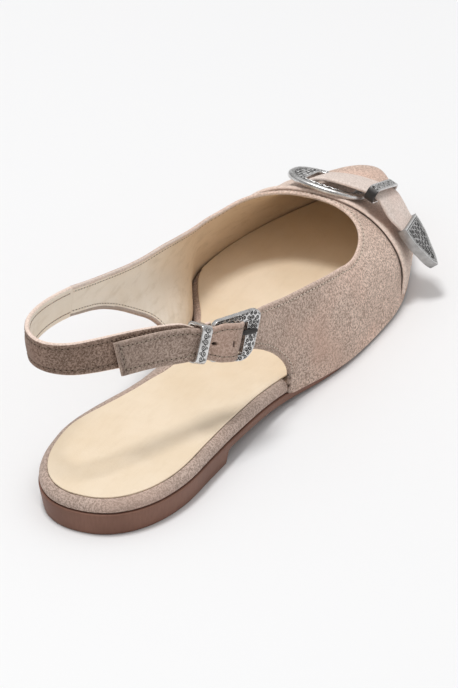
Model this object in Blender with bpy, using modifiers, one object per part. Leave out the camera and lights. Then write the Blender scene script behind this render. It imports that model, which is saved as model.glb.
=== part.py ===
"""Pointed toe flat slingback with engraved buckles, one right shoe.

Sizes are in millimetres and MM turns them into metres when a mesh is made.
Station s runs from the back of the heel to the toe tip, x is positive on the
lateral side, z is up from the floor.  The origin is the middle of the heel's
flat face, +Y points to the toe.
"""
import math

import bmesh
import bpy
import numpy as np
from mathutils import Matrix, Vector

MM = 0.001
LATERAL = 1
MEDIAL = -1


def table(columns, *rows):
    """Short table with named columns, one row for each section."""
    return dict(zip(columns.split(), np.array(rows, float).T))


# Sole
SOLE_LENGTH = 266.0
HEEL_CENTRE = 33.0
HEEL_BREAST = 64.0
SHANK_RISE = 5.7
FOREFOOT_FLAT = (150.0, 192.0)
TOE_SPRING = 7.0
TIP_ROUND = 4.0
OUTSOLE_THICK = 3.4
EDGE_TAPER = 1.3
BOARD_THICK = 3.6
BOARD_ROUND = 3.2
SOCK_THICK = 0.9
SOCK_INSET = 3.6
GAP = 0.3

# Upper
WALL = 2.0
FEATHER_INSET = 0.2
FEATHER_LIFT = 0.6
THROAT = 197.0
TOE_ROUND_FROM = 240.0
STRAP_WIDTH = 13.2
STRAP_THICK = 1.8
SIDE_COLUMNS = 8

# Plan half-widths of the sole, height of the instep over the feather edge, and how far
# the wall of each side swells out past the sole's edge.
LAST = table(
    "s     medial  lateral  instep  medial_swell  lateral_swell",
    (45,   29.0,   29.0,    103.0,  11.0,         0.0),
    (80,   21.5,   29.8,    91.0,   13.3,         0.0),
    (112,  19.5,   31.5,    79.0,   13.2,         0.0),
    (146,  25.5,   38.5,    60.0,   5.4,          0.4),
    (163,  34.8,   40.1,    51.4,   1.2,          0.8),
    (181,  40.5,   40.5,    44.5,   -2.2,         1.2),
    (205,  40.5,   40.5,    34.3,   -3.8,         1.8),
    (230,  40.5,   40.5,    26.2,   -1.2,         1.6),
    (266,  40.5,   40.5,    13.5,   0.0,          0.0),
)
BALL = 181.0
HEEL_ROUND = 45.0

# Where the round throat line joins each wing's collar.
COLLAR_START = {LATERAL: (157.0, 37.6), MEDIAL: (143.0, 42.6)}

# Wings: collar point and lower edge point of each row, z 0 meaning the feather edge.
WING = {
    LATERAL: table(
        "top_s  top_z  low_s  low_z",
        (157.0, 37.6,  157.0, 0.0),
        (148.0, 39.1,  143.0, 0.0),
        (139.0, 40.7,  129.5, 0.0),
        (131.0, 41.9,  119.6, 0.0),
        (124.5, 42.8,  114.0, 0.0),
        (118.0, 43.8,  114.4, 10.0),
        (111.5, 45.2,  113.1, 16.5),
        (105.5, 46.7,  108.8, 22.5),
        (100.0, 48.1,  101.6, 28.9),
        (94.6,  49.3,  91.8,  35.3),
    ),
    MEDIAL: table(
        "top_s  top_z  low_s  low_z",
        (143.0, 42.6,  143.0, 0.0),
        (137.0, 43.8,  133.0, 0.0),
        (131.0, 45.1,  124.8, 0.0),
        (125.5, 46.3,  119.3, 0.0),
        (119.5, 47.7,  118.7, 10.0),
        (112.5, 49.5,  116.3, 18.5),
        (105.0, 51.6,  111.5, 24.8),
        (97.0,  53.9,  104.0, 30.3),
        (89.0,  56.2,  95.0,  36.4),
        (80.0,  58.5,  84.0,  42.6),
        (70.5,  61.1,  72.0,  47.5),
        (62.2,  63.4,  58.9,  51.5),
    ),
}

# Centre line of the sling strap from the lateral wing round the heel to the medial seam.
# Lean turns the strap's lower edge outward.
STRAP_PATH = table(
    "x      s      z     lean",
    (28.4,  93.2,  42.3, 0.0),
    (25.4,  84.5,  44.2, 3.0),
    (17.6,  67.5,  49.4, 8.0),
    (9.6,   50.4,  54.8, 9.0),
    (2.3,   34.5,  58.5, 8.0),
    (-4.0,  21.5,  61.2, 3.0),
    (-9.5,  14.2,  62.8, -3.0),
    (-16.5, 11.6,  63.6, -7.0),
    (-23.2, 14.3,  63.8, -5.0),
    (-28.0, 21.0,  63.7, -3.0),
    (-30.6, 31.0,  63.0, -1.0),
    (-31.0, 44.0,  61.2, 0.0),
    (-30.9, 59.2,  57.6, 0.0),
)

# Lateral tail: how far it stands outside the sling strap and below it, by distance q.
TAIL = table(
    "q     out   drop",
    (0.0,  -0.2, 0.0),
    (3.0,  -0.9, 0.0),
    (5.6,  -1.0, 0.2),
    (8.0,  -1.0, 0.5),
    (10.5, 1.8,  0.6),
    (13.1, 4.5,  0.6),
    (17.0, 5.2,  0.6),
    (22.9, 4.8,  0.6),
    (30.5, 3.7,  0.8),
    (39.0, 2.6,  1.2),
    (69.0, 2.5,  2.2),
)
TAIL_END = 69.0
TAIL_SLANT = 4.4

# Sling buckle: a flat frame on the tail, its rear rail is the bar.
FRAME_LENGTH = 22.0
FRAME_HEIGHT = 21.0
FRAME_THICK = 2.0
FRAME_CORNER = 4.0
FRAME_FRONT_RAIL = 5.6
FRAME_BAR = 1.8
FRAME_WINDOW_HEIGHT = 14.0
FRAME_WINDOW_DROP = 0.6
FRAME_TOP_FALL = 2.6
FRAME_BOTTOM_RISE = 1.4
FRAME_LEAN = 1.7
FRAME_START = 1.8
FRAME_FRONT_OUT = 1.6
BAR_AT = FRAME_START + FRAME_LENGTH - FRAME_BAR / 2
LOOP_BORE = 1.7
LOOP_RADIUS = 2.8
PRONG_RADIUS = 0.8
PRONG_SLOT = 3.0
HOLE_AT = 11.4
KEEPER_AT = 30.4
KEEPER_WIDTH = 5.0
KEEPER_WALL = 1.2

# Vamp belt
BAND_REAR = 199.5
BAND_WIDTH = 23.0
BAND_THICK = 1.2
BELT_WIDTH = 15.4
BELT_THICK = 1.6
BELT_PITCH = math.radians(19.0)
BELT_S = 210.6
BELT_PATH = table(
    "x     z",
    (-2.0, 40.8),
    (-0.9, 41.3),
    (0.4,  42.2),
    (3.5,  43.2),
    (9.0,  43.6),
    (15.0, 43.3),
    (19.0, 42.8),
    (22.6, 42.2),
    (26.4, 41.0),
    (29.2, 38.6),
    (31.4, 35.4),
    (34.4, 31.5),
    (38.0, 27.4),
)
VAMP_FRAME_HALF = (16.4, 12.0)
VAMP_FRAME_POWER = 2.4
VAMP_FRAME_THICK = 2.2
VAMP_FRAME_AT = (4.05, 210.4, 40.6)
VAMP_FRAME_PITCH = math.radians(17.0)
VAMP_FRAME_TILT = math.radians(8.0)
VAMP_WINDOW = (-7.6, 11.6, 8.6)
VAMP_KEEPER_AT = 28.6
VAMP_KEEPER_TURN = math.radians(7.0)
VAMP_KEEPER_WIDTH = 5.0
VAMP_KEEPER_SIZE = (20.0, 6.2)
VAMP_KEEPER_OUT = 0.5
TIP_LENGTH = 17.0
TIP_THICK = 3.6
TIP_SOCKET = 3.0
TIP_DROP = math.radians(55.0)


def smooth(start, end, value):
    t = np.clip((value - start) / (end - start), 0.0, 1.0)
    return t * t * (3.0 - 2.0 * t)


def spline(xs, ys, end_slopes=None):
    """Cubic spline through a short table, with natural ends or given end slopes."""
    xs = np.asarray(xs, float)
    ys = np.asarray(ys, float)
    count = len(xs)
    step = np.diff(xs)
    rise = np.diff(ys) / step
    matrix = np.zeros((count, count))
    right = np.zeros(count)
    for i in range(1, count - 1):
        matrix[i, i - 1:i + 2] = step[i], 2.0 * (step[i - 1] + step[i]), step[i - 1]
        right[i] = 3.0 * (step[i] * rise[i - 1] + step[i - 1] * rise[i])
    if end_slopes:
        matrix[0, 0] = matrix[-1, -1] = 1.0
        right[0], right[-1] = end_slopes
    else:
        matrix[0, :2] = 2.0, 1.0
        matrix[-1, -2:] = 1.0, 2.0
        right[0], right[-1] = 3.0 * rise[0], 3.0 * rise[-1]
    slope = np.linalg.solve(matrix, right)

    def value(at):
        at = np.clip(at, xs[0], xs[-1])
        i = np.clip(np.searchsorted(xs, at, side="right") - 1, 0, count - 2)
        t = (at - xs[i]) / step[i]
        start = (1.0 + 2.0 * t) * (1.0 - t) ** 2 * ys[i] + t * (1.0 - t) ** 2 * step[i] * slope[i]
        end = t * t * (3.0 - 2.0 * t) * ys[i + 1] + t * t * (t - 1.0) * step[i] * slope[i + 1]
        return start + end

    return value


MIDDLE = LAST["s"] <= BALL
WAIST = {
    LATERAL: spline(LAST["s"][MIDDLE], LAST["lateral"][MIDDLE], (0.0, 0.0)),
    MEDIAL: spline(LAST["s"][MIDDLE], LAST["medial"][MIDDLE], (0.0, 0.0)),
}
INSTEP = spline(LAST["s"], LAST["instep"])
SWELL = {
    LATERAL: spline(LAST["s"], LAST["lateral_swell"]),
    MEDIAL: spline(LAST["s"], LAST["medial_swell"]),
}


def half_width(s, side, inset=0.0):
    """Plan half-width of the sole at a station, drawn in by an inset."""
    tip = SOLE_LENGTH - 1.55 * inset
    if s < HEEL_ROUND:
        share = min(1.0, (HEEL_ROUND - s) / (HEEL_ROUND - inset))
        return (WAIST[side](HEEL_ROUND) - inset) * (1.0 - share ** 2.25) ** (1.0 / 2.25)
    if s < BALL:
        return WAIST[side](s) - inset

    def reach(d):
        return math.sqrt(d * d + 2.0 * TIP_ROUND * d)

    share = 1.0 - reach(max(0.0, tip - s)) / reach(tip - BALL)
    return (WAIST[side](BALL) - inset) * (1.0 - share ** 2.1) ** 1.05


def underside(s):
    """Underside of the sole without the heel block."""
    toe = np.clip((s - FOREFOOT_FLAT[1]) / (SOLE_LENGTH - FOREFOOT_FLAT[1]), 0.0, 1.0)
    return SHANK_RISE * (1.0 - smooth(HEEL_BREAST, FOREFOOT_FLAT[0], s)) + TOE_SPRING * toe ** 2


def feather(s):
    return underside(s) + OUTSOLE_THICK + FEATHER_LIFT


def instep(s):
    share = max(0.0, (s - TOE_ROUND_FROM) / (SOLE_LENGTH - TOE_ROUND_FROM))
    return INSTEP(s) * (1.0 - min(1.0, share) ** 3) ** (1.0 / 3.0)


def last_point(s, angle, side):
    """Point of the last at a station and an angle round it, 0 at the feather edge."""
    height = math.sin(angle) ** (2.0 / 2.2)
    width = half_width(s, side) - FEATHER_INSET + SWELL[side](s) * smooth(0.0, 0.5, height)
    x = side * width * max(0.0, math.cos(angle)) ** (2.0 / 2.4)
    return np.array((x, s, feather(s) + instep(s) * height))


def angle_at(s, z):
    """Angle round the last at a height."""
    height = np.clip((z - feather(s)) / instep(s), 0.0, 1.0)
    return math.asin(height ** 1.1)


def outward_point(s, angle, side, out):
    """Point of the last moved out along its surface normal."""
    here = last_point(s, angle, side)
    along = last_point(s + 0.5, angle, side) - last_point(s - 0.5, angle, side)
    lower = last_point(s, max(0.0, angle - 0.02), side)
    round_ = last_point(s, min(math.pi / 2, angle + 0.02), side) - lower
    normal = side * np.cross(along, round_)
    return here + out * normal / np.linalg.norm(normal)


def upper_rows(side):
    """Lower edge and top edge of each row of the upper, from the toe to the wing's end."""
    rows = []
    for back in (0.35, 1.2, 2.6, 4.8, 8.0, 12.0, 17.0, 23.0, 30.0, 37.0, 44.0, 51.0, 58.0, 64.5):
        s = SOLE_LENGTH - back
        rows.append((s, 0.0, s, math.pi / 2))
    start_s, start_z = COLLAR_START[side]
    start_angle = angle_at(start_s, start_z)
    for turn in np.linspace(0.0, math.pi / 2, 11):
        top_s = start_s + (THROAT - start_s) * math.cos(turn)
        top_angle = math.pi / 2 - (math.pi / 2 - start_angle) * math.sin(turn)
        low_s = THROAT - (THROAT - start_s) * turn / (math.pi / 2)
        rows.append((low_s, 0.0, top_s, top_angle))
    wing = WING[side]
    index = np.arange(len(wing["top_s"]))
    column = {name: spline(index, wing[name]) for name in wing}
    for at in np.arange(0.5, index[-1] + 0.01, 0.5):
        top_s, low_s = column["top_s"](at), column["low_s"](at)
        top_angle = angle_at(top_s, column["top_z"](at))
        rows.append((low_s, angle_at(low_s, column["low_z"](at)), top_s, top_angle))
    return rows


def row_points(row, side):
    low_s, low_angle, top_s, top_angle = row
    shares = np.linspace(0.0, 1.0, SIDE_COLUMNS + 1)
    return [last_point(low_s + (top_s - low_s) * v, low_angle + (top_angle - low_angle) * v, side)
            for v in shares]


def path_by_length(points):
    """Smooth path through points, as functions of the distance along it, and its length."""
    points = np.asarray(points, float)
    chord = np.concatenate(((0.0,), np.cumsum(np.linalg.norm(np.diff(points[:, :3], axis=0), axis=1))))
    parts = [spline(chord, points[:, i]) for i in range(points.shape[1])]
    fine = np.linspace(0.0, chord[-1], 600)
    places = np.stack([part(fine) for part in parts], axis=1)
    gone = np.linalg.norm(np.diff(places[:, :3], axis=0), axis=1)
    length = np.concatenate(((0.0,), np.cumsum(gone)))

    def place(q):
        return np.array([np.interp(q, length, places[:, i]) for i in range(places.shape[1])])

    return place, length[-1]


STRAP, STRAP_LENGTH = path_by_length(np.stack([STRAP_PATH[c] for c in ("x", "s", "z", "lean")], axis=1))
TAIL_OUT = spline(TAIL["q"], TAIL["out"])
TAIL_DROP = spline(TAIL["q"], TAIL["drop"])


def strap_frame(q):
    """Place, direction, outward side and upward side of the sling strap."""
    here = STRAP(np.clip(q, 0.0, STRAP_LENGTH))
    ahead = STRAP(np.clip(q + 0.6, 0.6, STRAP_LENGTH))
    behind = STRAP(np.clip(q - 0.6, 0.0, STRAP_LENGTH - 0.6))
    along = (ahead - behind)[:3]
    along = along / np.linalg.norm(along)
    out = np.array((-along[1], along[0], 0.0))
    out = out / np.linalg.norm(out)
    up = np.cross(along, out)
    up = up if up[2] > 0 else -up
    lean = math.radians(here[3])
    leant_up = up * math.cos(lean) - out * math.sin(lean)
    leant_out = out * math.cos(lean) + up * math.sin(lean)
    place = here[:3] + along * min(0.0, q) + along * max(0.0, q - STRAP_LENGTH)
    return place, along, leant_out, leant_up


def tail_points(q):
    """Outer face of the lateral tail, from its lower edge to its top edge."""
    place, along, out, up = strap_frame(q)
    slant = along * TAIL_SLANT * smooth(TAIL_END - 14.0, TAIL_END, q)
    lean = FRAME_LEAN * (1.0 - smooth(14.0, 26.0, q))
    points = []
    for v in np.linspace(-0.5, 0.5, SIDE_COLUMNS + 1):
        lift = TAIL_OUT(q - lean * (0.5 - v)) + WALL / 2
        points.append(place + out * lift - up * TAIL_DROP(q) + (up * STRAP_WIDTH + slant) * v)
    return points


def belt_frame(q):
    """Place, direction, outward side and cross side of the vamp belt."""
    ahead, behind = BELT(min(q + 0.4, BELT_LENGTH)), BELT(max(q - 0.4, 0.0))
    along = (ahead - behind) / np.linalg.norm(ahead - behind)
    cross = np.array((0.0, math.cos(BELT_PITCH), -math.sin(BELT_PITCH)))
    out = np.cross(along, cross)
    out = out / np.linalg.norm(out)
    return BELT(q), along, out, np.cross(out, along)


BELT, BELT_LENGTH = path_by_length(
    np.stack((BELT_PATH["x"], np.full(len(BELT_PATH["x"]), BELT_S), BELT_PATH["z"]), axis=1))


def to_blender(point):
    return Vector((point[0] * MM, (point[1] - HEEL_CENTRE) * MM, point[2] * MM))


def placed(place, along, cross, out):
    """Matrix that puts local X, Y, Z (in mm) along three directions at a place."""
    matrix = Matrix.Identity(4)
    for i, axis in enumerate((along, cross, out)):
        matrix.col[i] = Vector((*(float(a) * MM for a in axis), 0.0))
    matrix.col[3] = Vector((*to_blender(place), 1.0))
    return matrix


def new_collection(name, hidden=False):
    collection = bpy.data.collections.new(name)
    bpy.context.scene.collection.children.link(collection)
    collection.hide_render = hidden
    return collection


def material(name, colour, roughness, metallic=0.0):
    made = bpy.data.materials.new(name)
    made.use_nodes = True
    shader = made.node_tree.nodes["Principled BSDF"]
    shader.inputs["Base Color"].default_value = (*colour, 1.0)
    shader.inputs["Roughness"].default_value = roughness
    shader.inputs["Metallic"].default_value = metallic
    made.diffuse_color = (*colour, 1.0)
    return made


def add_mesh(name, bm, look, collection):
    """Object from a bmesh whose coordinates are already in metres."""
    bmesh.ops.recalc_face_normals(bm, faces=bm.faces)
    mesh = bpy.data.meshes.new(name)
    bm.to_mesh(mesh)
    bm.free()
    mesh.materials.append(look)
    made = bpy.data.objects.new(name, mesh)
    collection.objects.link(made)
    return made


def baked(thing):
    """Mesh of an object with its modifiers applied and its placement kept."""
    bpy.context.view_layer.update()
    seen = thing.evaluated_get(bpy.context.evaluated_depsgraph_get())
    mesh = bpy.data.meshes.new_from_object(seen)
    mesh.transform(thing.matrix_world)
    return mesh


def replace_mesh(thing, mesh, look):
    old = thing.data
    name = thing.name
    collection = thing.users_collection[0]
    bpy.data.objects.remove(thing)
    made = bpy.data.objects.new(name, mesh)
    mesh.name = name
    mesh.materials.clear()
    mesh.materials.append(look)
    collection.objects.link(made)
    if isinstance(old, bpy.types.Mesh):
        bpy.data.meshes.remove(old)
    return made


def combine(thing, other, operation, look):
    """Boolean of two objects, baked into the first."""
    change = thing.modifiers.new(operation.lower(), "BOOLEAN")
    change.operation = operation
    change.solver = "EXACT"
    change.object = other
    return replace_mesh(thing, baked(thing), look)


def loft(name, sections, look, collection):
    """Closed body skinned over closed sections with the same number of points."""
    bm = bmesh.new()
    rings = [[bm.verts.new(to_blender(p)) for p in section] for section in sections]
    count = len(rings[0])
    for low, high in zip(rings, rings[1:]):
        for i in range(count):
            j = (i + 1) % count
            bm.faces.new((low[i], low[j], high[j], high[i]))
    bm.faces.new(rings[0])
    bm.faces.new(rings[-1])
    return add_mesh(name, bm, look, collection)


def sheet(bm, rows, flip):
    """Open grid of quads over rows of points."""
    grid = [[bm.verts.new(to_blender(p)) for p in row] for row in rows]
    for low, high in zip(grid, grid[1:]):
        for i in range(len(low) - 1):
            corners = (low[i], low[i + 1], high[i + 1], high[i])
            bm.faces.new(corners[::-1] if flip else corners)
    return grid


def thicken(bm, name, thickness, look, collection):
    """Solid wall on the inner side of an open sheet."""
    mesh = bpy.data.meshes.new(name)
    bm.to_mesh(mesh)
    bm.free()
    thing = bpy.data.objects.new(name, mesh)
    collection.objects.link(thing)
    wall = thing.modifiers.new("wall", "SOLIDIFY")
    wall.thickness = thickness * MM
    wall.offset = -1.0
    wall.use_even_offset = False
    return replace_mesh(thing, baked(thing), look)


def plate(name, outlines, thickness, edge, matrix, look, collection):
    """Flat plate with windows: outlines in mm, rounded by an edge, placed by a matrix."""
    curve = bpy.data.curves.new(name, "CURVE")
    curve.dimensions = "2D"
    curve.fill_mode = "BOTH"
    curve.extrude = thickness / 2 - edge
    curve.bevel_depth = edge
    curve.bevel_resolution = 1
    curve.offset = -edge
    for outline in outlines:
        line = curve.splines.new("POLY")
        line.points.add(len(outline) - 1)
        for point, (u, v) in zip(line.points, outline):
            point.co = (u, v, 0.0, 1.0)
        line.use_cyclic_u = True
    thing = bpy.data.objects.new(name, curve)
    collection.objects.link(thing)
    thing.matrix_world = matrix
    made = replace_mesh(thing, baked(thing), look)
    bm = bmesh.new()
    bm.from_mesh(made.data)
    bmesh.ops.remove_doubles(bm, verts=bm.verts, dist=0.00001)
    bmesh.ops.recalc_face_normals(bm, faces=bm.faces)
    bm.to_mesh(made.data)
    bm.free()
    return made


def box(name, size, matrix, look, collection):
    bm = bmesh.new()
    bmesh.ops.create_cube(bm, size=1.0, matrix=matrix @ Matrix.Diagonal((*size, 1.0)))
    thing = add_mesh(name, bm, look, collection)
    return thing


def rounded(length, height, corner, steps=4):
    """Rounded rectangle about the middle."""
    points = []
    for sign_u, sign_v, start in ((1, -1, -90), (1, 1, 0), (-1, 1, 90), (-1, -1, 180)):
        for step in range(steps + 1):
            angle = math.radians(start + 90.0 * step / steps)
            points.append((sign_u * (length / 2 - corner) + corner * math.cos(angle),
                           sign_v * (height / 2 - corner) + corner * math.sin(angle)))
    return points


def oval(half_u, half_v, power, count=36):
    points = []
    for i in range(count):
        angle = 2.0 * math.pi * i / count
        c, s = math.cos(angle), math.sin(angle)
        points.append((half_u * math.copysign(abs(c) ** (2.0 / power), c),
                       half_v * math.copysign(abs(s) ** (2.0 / power), s)))
    return points


def strap_section(centre, cross, out, width, thick, soft=0.35):
    """Eight-point section of a strap with softened corners."""
    section = []
    for u, v in ((0.5, -0.5), (0.5, 0.5), (-0.5, 0.5), (-0.5, -0.5)):
        corner = centre + cross * width * u + out * thick * v
        near_u = -cross * math.copysign(soft, u)
        near_v = -out * math.copysign(soft, v)
        first, second = (near_u, near_v) if u * v < 0 else (near_v, near_u)
        section.extend((corner + first, corner + second))
    return section


def stations(start, end, ends=(), middle=40):
    """Stations bunched at the two rounded ends of the sole."""
    share = 0.5 - 0.5 * np.cos(np.linspace(0.0, math.pi, middle))
    places = np.concatenate((start + (end - start) * share, np.asarray(ends, float)))
    return np.unique(np.round(places, 3))


def heel_block(s):
    """Share of the heel block under the shank, 1 in the heel and 0 past the breast."""
    return np.interp(s, (HEEL_BREAST, HEEL_BREAST + 0.8, HEEL_BREAST + 2.6), (1.0, 0.18, 0.0))


def make_outsole(look, collection):
    sections = []
    breast = (HEEL_BREAST, HEEL_BREAST + 0.8, HEEL_BREAST + 2.6)
    for s in stations(0.25, SOLE_LENGTH - 0.25, breast, 46):
        top = underside(s) + OUTSOLE_THICK
        low = underside(s) * (1.0 - heel_block(s))
        taper = EDGE_TAPER * (top - low) / (SHANK_RISE + OUTSOLE_THICK)
        left, right = half_width(s, MEDIAL), half_width(s, LATERAL)
        soft = min(0.6, 0.3 * min(left, right))
        sections.append([(right - soft, s, top), (right, s, top - 0.5),
                         (right - taper, s, low + 0.7), (right - taper - soft, s, low),
                         (-left + taper + soft, s, low), (-left + taper, s, low + 0.7),
                         (-left, s, top - 0.5), (-left + soft, s, top)])
    return loft("outsole", sections, look, collection)


def board_inset(s, side):
    """The board shows behind the wings and tucks inside the upper's wall before them."""
    start = {LATERAL: 105.0, MEDIAL: 110.0}[side]
    return 0.3 + (WALL + 0.5) * smooth(start, start + 6.5, s)


def make_footbed(look, collection):
    sections = []
    front = WALL + 0.8
    for s in stations(0.55, SOLE_LENGTH - 1.55 * front - 0.3, (105, 107, 109, 111.5, 114, 117), 44):
        low = underside(s) + OUTSOLE_THICK + GAP
        top = low + BOARD_THICK
        edges = {side: half_width(s, side, board_inset(s, side)) for side in (MEDIAL, LATERAL)}
        ring = []
        for side in (LATERAL, MEDIAL):
            edge = edges[side]
            soft = min(BOARD_ROUND, 0.6 * edge)
            half = [(side * (edge - 0.15 * soft), s, low), (side * edge, s, low + 0.35 * BOARD_THICK),
                    (side * (edge - 0.12 * soft), s, low + 0.68 * BOARD_THICK),
                    (side * (edge - 0.42 * soft), s, low + 0.91 * BOARD_THICK),
                    (side * (edge - soft), s, top)]
            ring.extend(half if side == LATERAL else half[::-1])
        sections.append(ring)
    return loft("footbed", sections, look, collection)


def make_insole(look, collection):
    sections = []
    for s in stations(SOCK_INSET + 0.25, SOLE_LENGTH - 1.55 * SOCK_INSET - 0.4, (), 44):
        low = underside(s) + OUTSOLE_THICK + BOARD_THICK + 2 * GAP
        top = low + SOCK_THICK
        right, left = half_width(s, LATERAL, SOCK_INSET), half_width(s, MEDIAL, SOCK_INSET)
        soft = min(0.5, 0.3 * min(left, right))
        sections.append([(right, s, low), (right, s, top - 0.4), (right - soft, s, top),
                         (-left + soft, s, top), (-left, s, top - 0.4), (-left, s, low)])
    return loft("insole", sections, look, collection)


def make_upper(look, collection, cutters):
    bm = bmesh.new()
    toe = [np.array((0.0, SOLE_LENGTH, feather(SOLE_LENGTH)))] * (SIDE_COLUMNS + 1)
    for side in (LATERAL, MEDIAL):
        rows = [toe] + [row_points(row, side) for row in upper_rows(side)]
        if side == LATERAL:
            for q in np.concatenate((np.arange(2.6, 13.0, 0.8), np.linspace(14.5, TAIL_END, 22))):
                rows.append(tail_points(q))
        sheet(bm, rows, flip=side == MEDIAL)
    bmesh.ops.remove_doubles(bm, verts=bm.verts, dist=0.00001)
    upper = thicken(bm, "upper", WALL, look, collection)
    place, along, out, up = strap_frame(HOLE_AT)
    hole = box("prong_hole", (5.0, 2.6, 3.2), placed(place + out * 2.3, along, up, out), look, cutters)
    return combine(upper, hole, "DIFFERENCE", look)


def make_heel_strap(look, collection, cutters):
    sections = []
    for q in np.concatenate((np.linspace(BAR_AT + 2.2, 62.0, 16), np.linspace(65.0, STRAP_LENGTH - GAP, 30))):
        place, along, out, up = strap_frame(q)
        sections.append(strap_section(place, up, out, STRAP_WIDTH, STRAP_THICK))
    strap = loft("heel_strap", sections, look, collection)
    _, along, up, out = buckle_matrix()
    place = strap_frame(BAR_AT)[0]
    ring = [oval(LOOP_RADIUS, LOOP_RADIUS, 2.0, 20), oval(LOOP_BORE, LOOP_BORE, 2.0, 16)]
    loop = plate("strap_loop", ring, STRAP_WIDTH - 1.0, 0.3, placed(place, along, out, up), look, cutters)
    strap = combine(strap, loop, "UNION", look)
    slot = box("prong_slot", (11.0, PRONG_SLOT, 8.0), placed(place, along, up, out), look, cutters)
    return combine(strap, slot, "DIFFERENCE", look)


def buckle_matrix():
    """Plane of the sling buckle: local X to the heel, Y down the strap, Z outward."""
    front, _, out, up = strap_frame(FRAME_START + FRAME_FRONT_RAIL / 2)
    bar, _, _, _ = strap_frame(BAR_AT)
    front = front + out * FRAME_FRONT_OUT
    along = (bar - front) / np.linalg.norm(bar - front)
    normal = np.cross(along, up)
    normal = normal if np.dot(normal, out) > 0 else -normal
    normal = normal / np.linalg.norm(normal)
    across = np.cross(normal, along)
    middle = bar - along * (FRAME_LENGTH / 2 - FRAME_BAR / 2)
    return middle, along, across, normal


def frame_point(u, v):
    """Point of the sling buckle's plane with the front rail's lean put in, v being positive downward."""
    return u + FRAME_LEAN * (v / FRAME_HEIGHT + 0.5) * (0.5 - u / FRAME_LENGTH), v


def make_sling_buckle(look, collection):
    middle, along, across, normal = buckle_matrix()
    window_length = FRAME_LENGTH - FRAME_FRONT_RAIL - FRAME_BAR
    shift = (FRAME_FRONT_RAIL - FRAME_BAR) / 2
    outer = [frame_point(u, v - (FRAME_BOTTOM_RISE if v > 0.0 else -FRAME_TOP_FALL) * (u / FRAME_LENGTH + 0.5))
             for u, v in rounded(FRAME_LENGTH, FRAME_HEIGHT, FRAME_CORNER)]
    window = [frame_point(u + shift, v + FRAME_WINDOW_DROP)
              for u, v in rounded(window_length, FRAME_WINDOW_HEIGHT, 0.8, 2)]
    return plate("sling_buckle", (outer, window), FRAME_THICK, 0.35,
                 placed(middle, along, across, normal), look, collection)


def make_prong(look, collection):
    """Bent wire that hooks round the bar and lies over the front rail."""
    middle, along, across, normal = buckle_matrix()
    bar_u = FRAME_LENGTH / 2 - FRAME_BAR / 2
    hook = FRAME_THICK / 2 + GAP + 0.2 + PRONG_RADIUS
    route = []
    for degrees in range(-60, 91, 30):
        angle = math.radians(degrees)
        route.append((bar_u + hook * math.cos(angle), hook * math.sin(angle)))
    over = FRAME_THICK / 2 + GAP + PRONG_RADIUS
    front = -FRAME_LENGTH / 2
    route.extend(((bar_u - 1.3, hook - 0.2), (bar_u - 3.4, 1.6), (bar_u - 6.5, 1.2), (front + 10.6, 1.1),
                  (front + 8.3, 1.55), (front + 6.4, over), (front + 4.0, over), (front + 1.9, over - 0.15)))
    curve = bpy.data.curves.new("sling_prong", "CURVE")
    curve.dimensions = "3D"
    curve.bevel_depth = PRONG_RADIUS
    curve.bevel_resolution = 1
    curve.use_fill_caps = True
    line = curve.splines.new("POLY")
    line.points.add(len(route) - 1)
    for point, (u, w) in zip(line.points, route):
        point.co = (u, 0.0, w, 1.0)
    thing = bpy.data.objects.new("sling_prong", curve)
    collection.objects.link(thing)
    thing.matrix_world = placed(middle, along, across, normal)
    return replace_mesh(thing, baked(thing), look)


def make_sling_keeper(look, collection):
    """Flat metal loop round the tail and the sling strap."""
    place, along, out, up = strap_frame(KEEPER_AT)
    low = -STRAP_THICK / 2 - GAP - 0.2
    high = TAIL_OUT(KEEPER_AT) + WALL / 2 + GAP + 0.35
    drop = TAIL_DROP(KEEPER_AT)
    height = STRAP_WIDTH + drop + 2 * (GAP + 0.25)
    centre = place + out * (low + high) / 2 - up * drop / 2
    outer = rounded(high - low + 2 * KEEPER_WALL, height + 2 * KEEPER_WALL, 2.0, 3)
    inner = rounded(high - low, height, 0.8, 2)
    return plate("sling_keeper", (outer, inner), KEEPER_WIDTH, 0.3,
                 placed(centre, out, up, along), look, collection)


def make_vamp_band(look, collection):
    """Strap laid over the vamp, made from the last's own surface."""
    bm = bmesh.new()
    for side in (LATERAL, MEDIAL):
        rows = []
        for share in np.linspace(0.0, 1.0, 8):
            s = BAND_REAR + BAND_WIDTH * share
            angles = np.linspace(0.02, math.pi / 2, 15)
            rows.append([outward_point(s, angle, side, GAP + BAND_THICK) for angle in angles])
        sheet(bm, rows, flip=side == LATERAL)
    bmesh.ops.remove_doubles(bm, verts=bm.verts, dist=0.0001)
    return thicken(bm, "vamp_band", BAND_THICK, look, collection)


def make_vamp_belt(look, collection):
    sections = []
    for q in np.linspace(0.0, BELT_LENGTH, 34):
        place, along, out, cross = belt_frame(q)
        sections.append(strap_section(place, cross, out, BELT_WIDTH, BELT_THICK, 0.4))
    return loft("vamp_belt", sections, look, collection)


def make_vamp_buckle(look, collection):
    along = np.array((math.cos(VAMP_FRAME_TILT), 0.0, -math.sin(VAMP_FRAME_TILT)))
    cross = np.array((0.0, math.cos(VAMP_FRAME_PITCH), -math.sin(VAMP_FRAME_PITCH)))
    normal = np.cross(along, cross)
    normal = normal / np.linalg.norm(normal)
    cross = np.cross(normal, along)
    start, end, half = VAMP_WINDOW
    outer = oval(*VAMP_FRAME_HALF, VAMP_FRAME_POWER)
    taper = 0.84
    window = [((u + 1.0) / 2 * (end - start) + start, v * (1.0 - (1.0 - taper) * (u + 1.0) / 2))
              for u, v in rounded(2.0, 2 * half, 0.001, 1)]
    return plate("vamp_buckle", (outer, window), VAMP_FRAME_THICK, 0.4,
                 placed(np.array(VAMP_FRAME_AT), along, cross, normal), look, collection)


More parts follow.
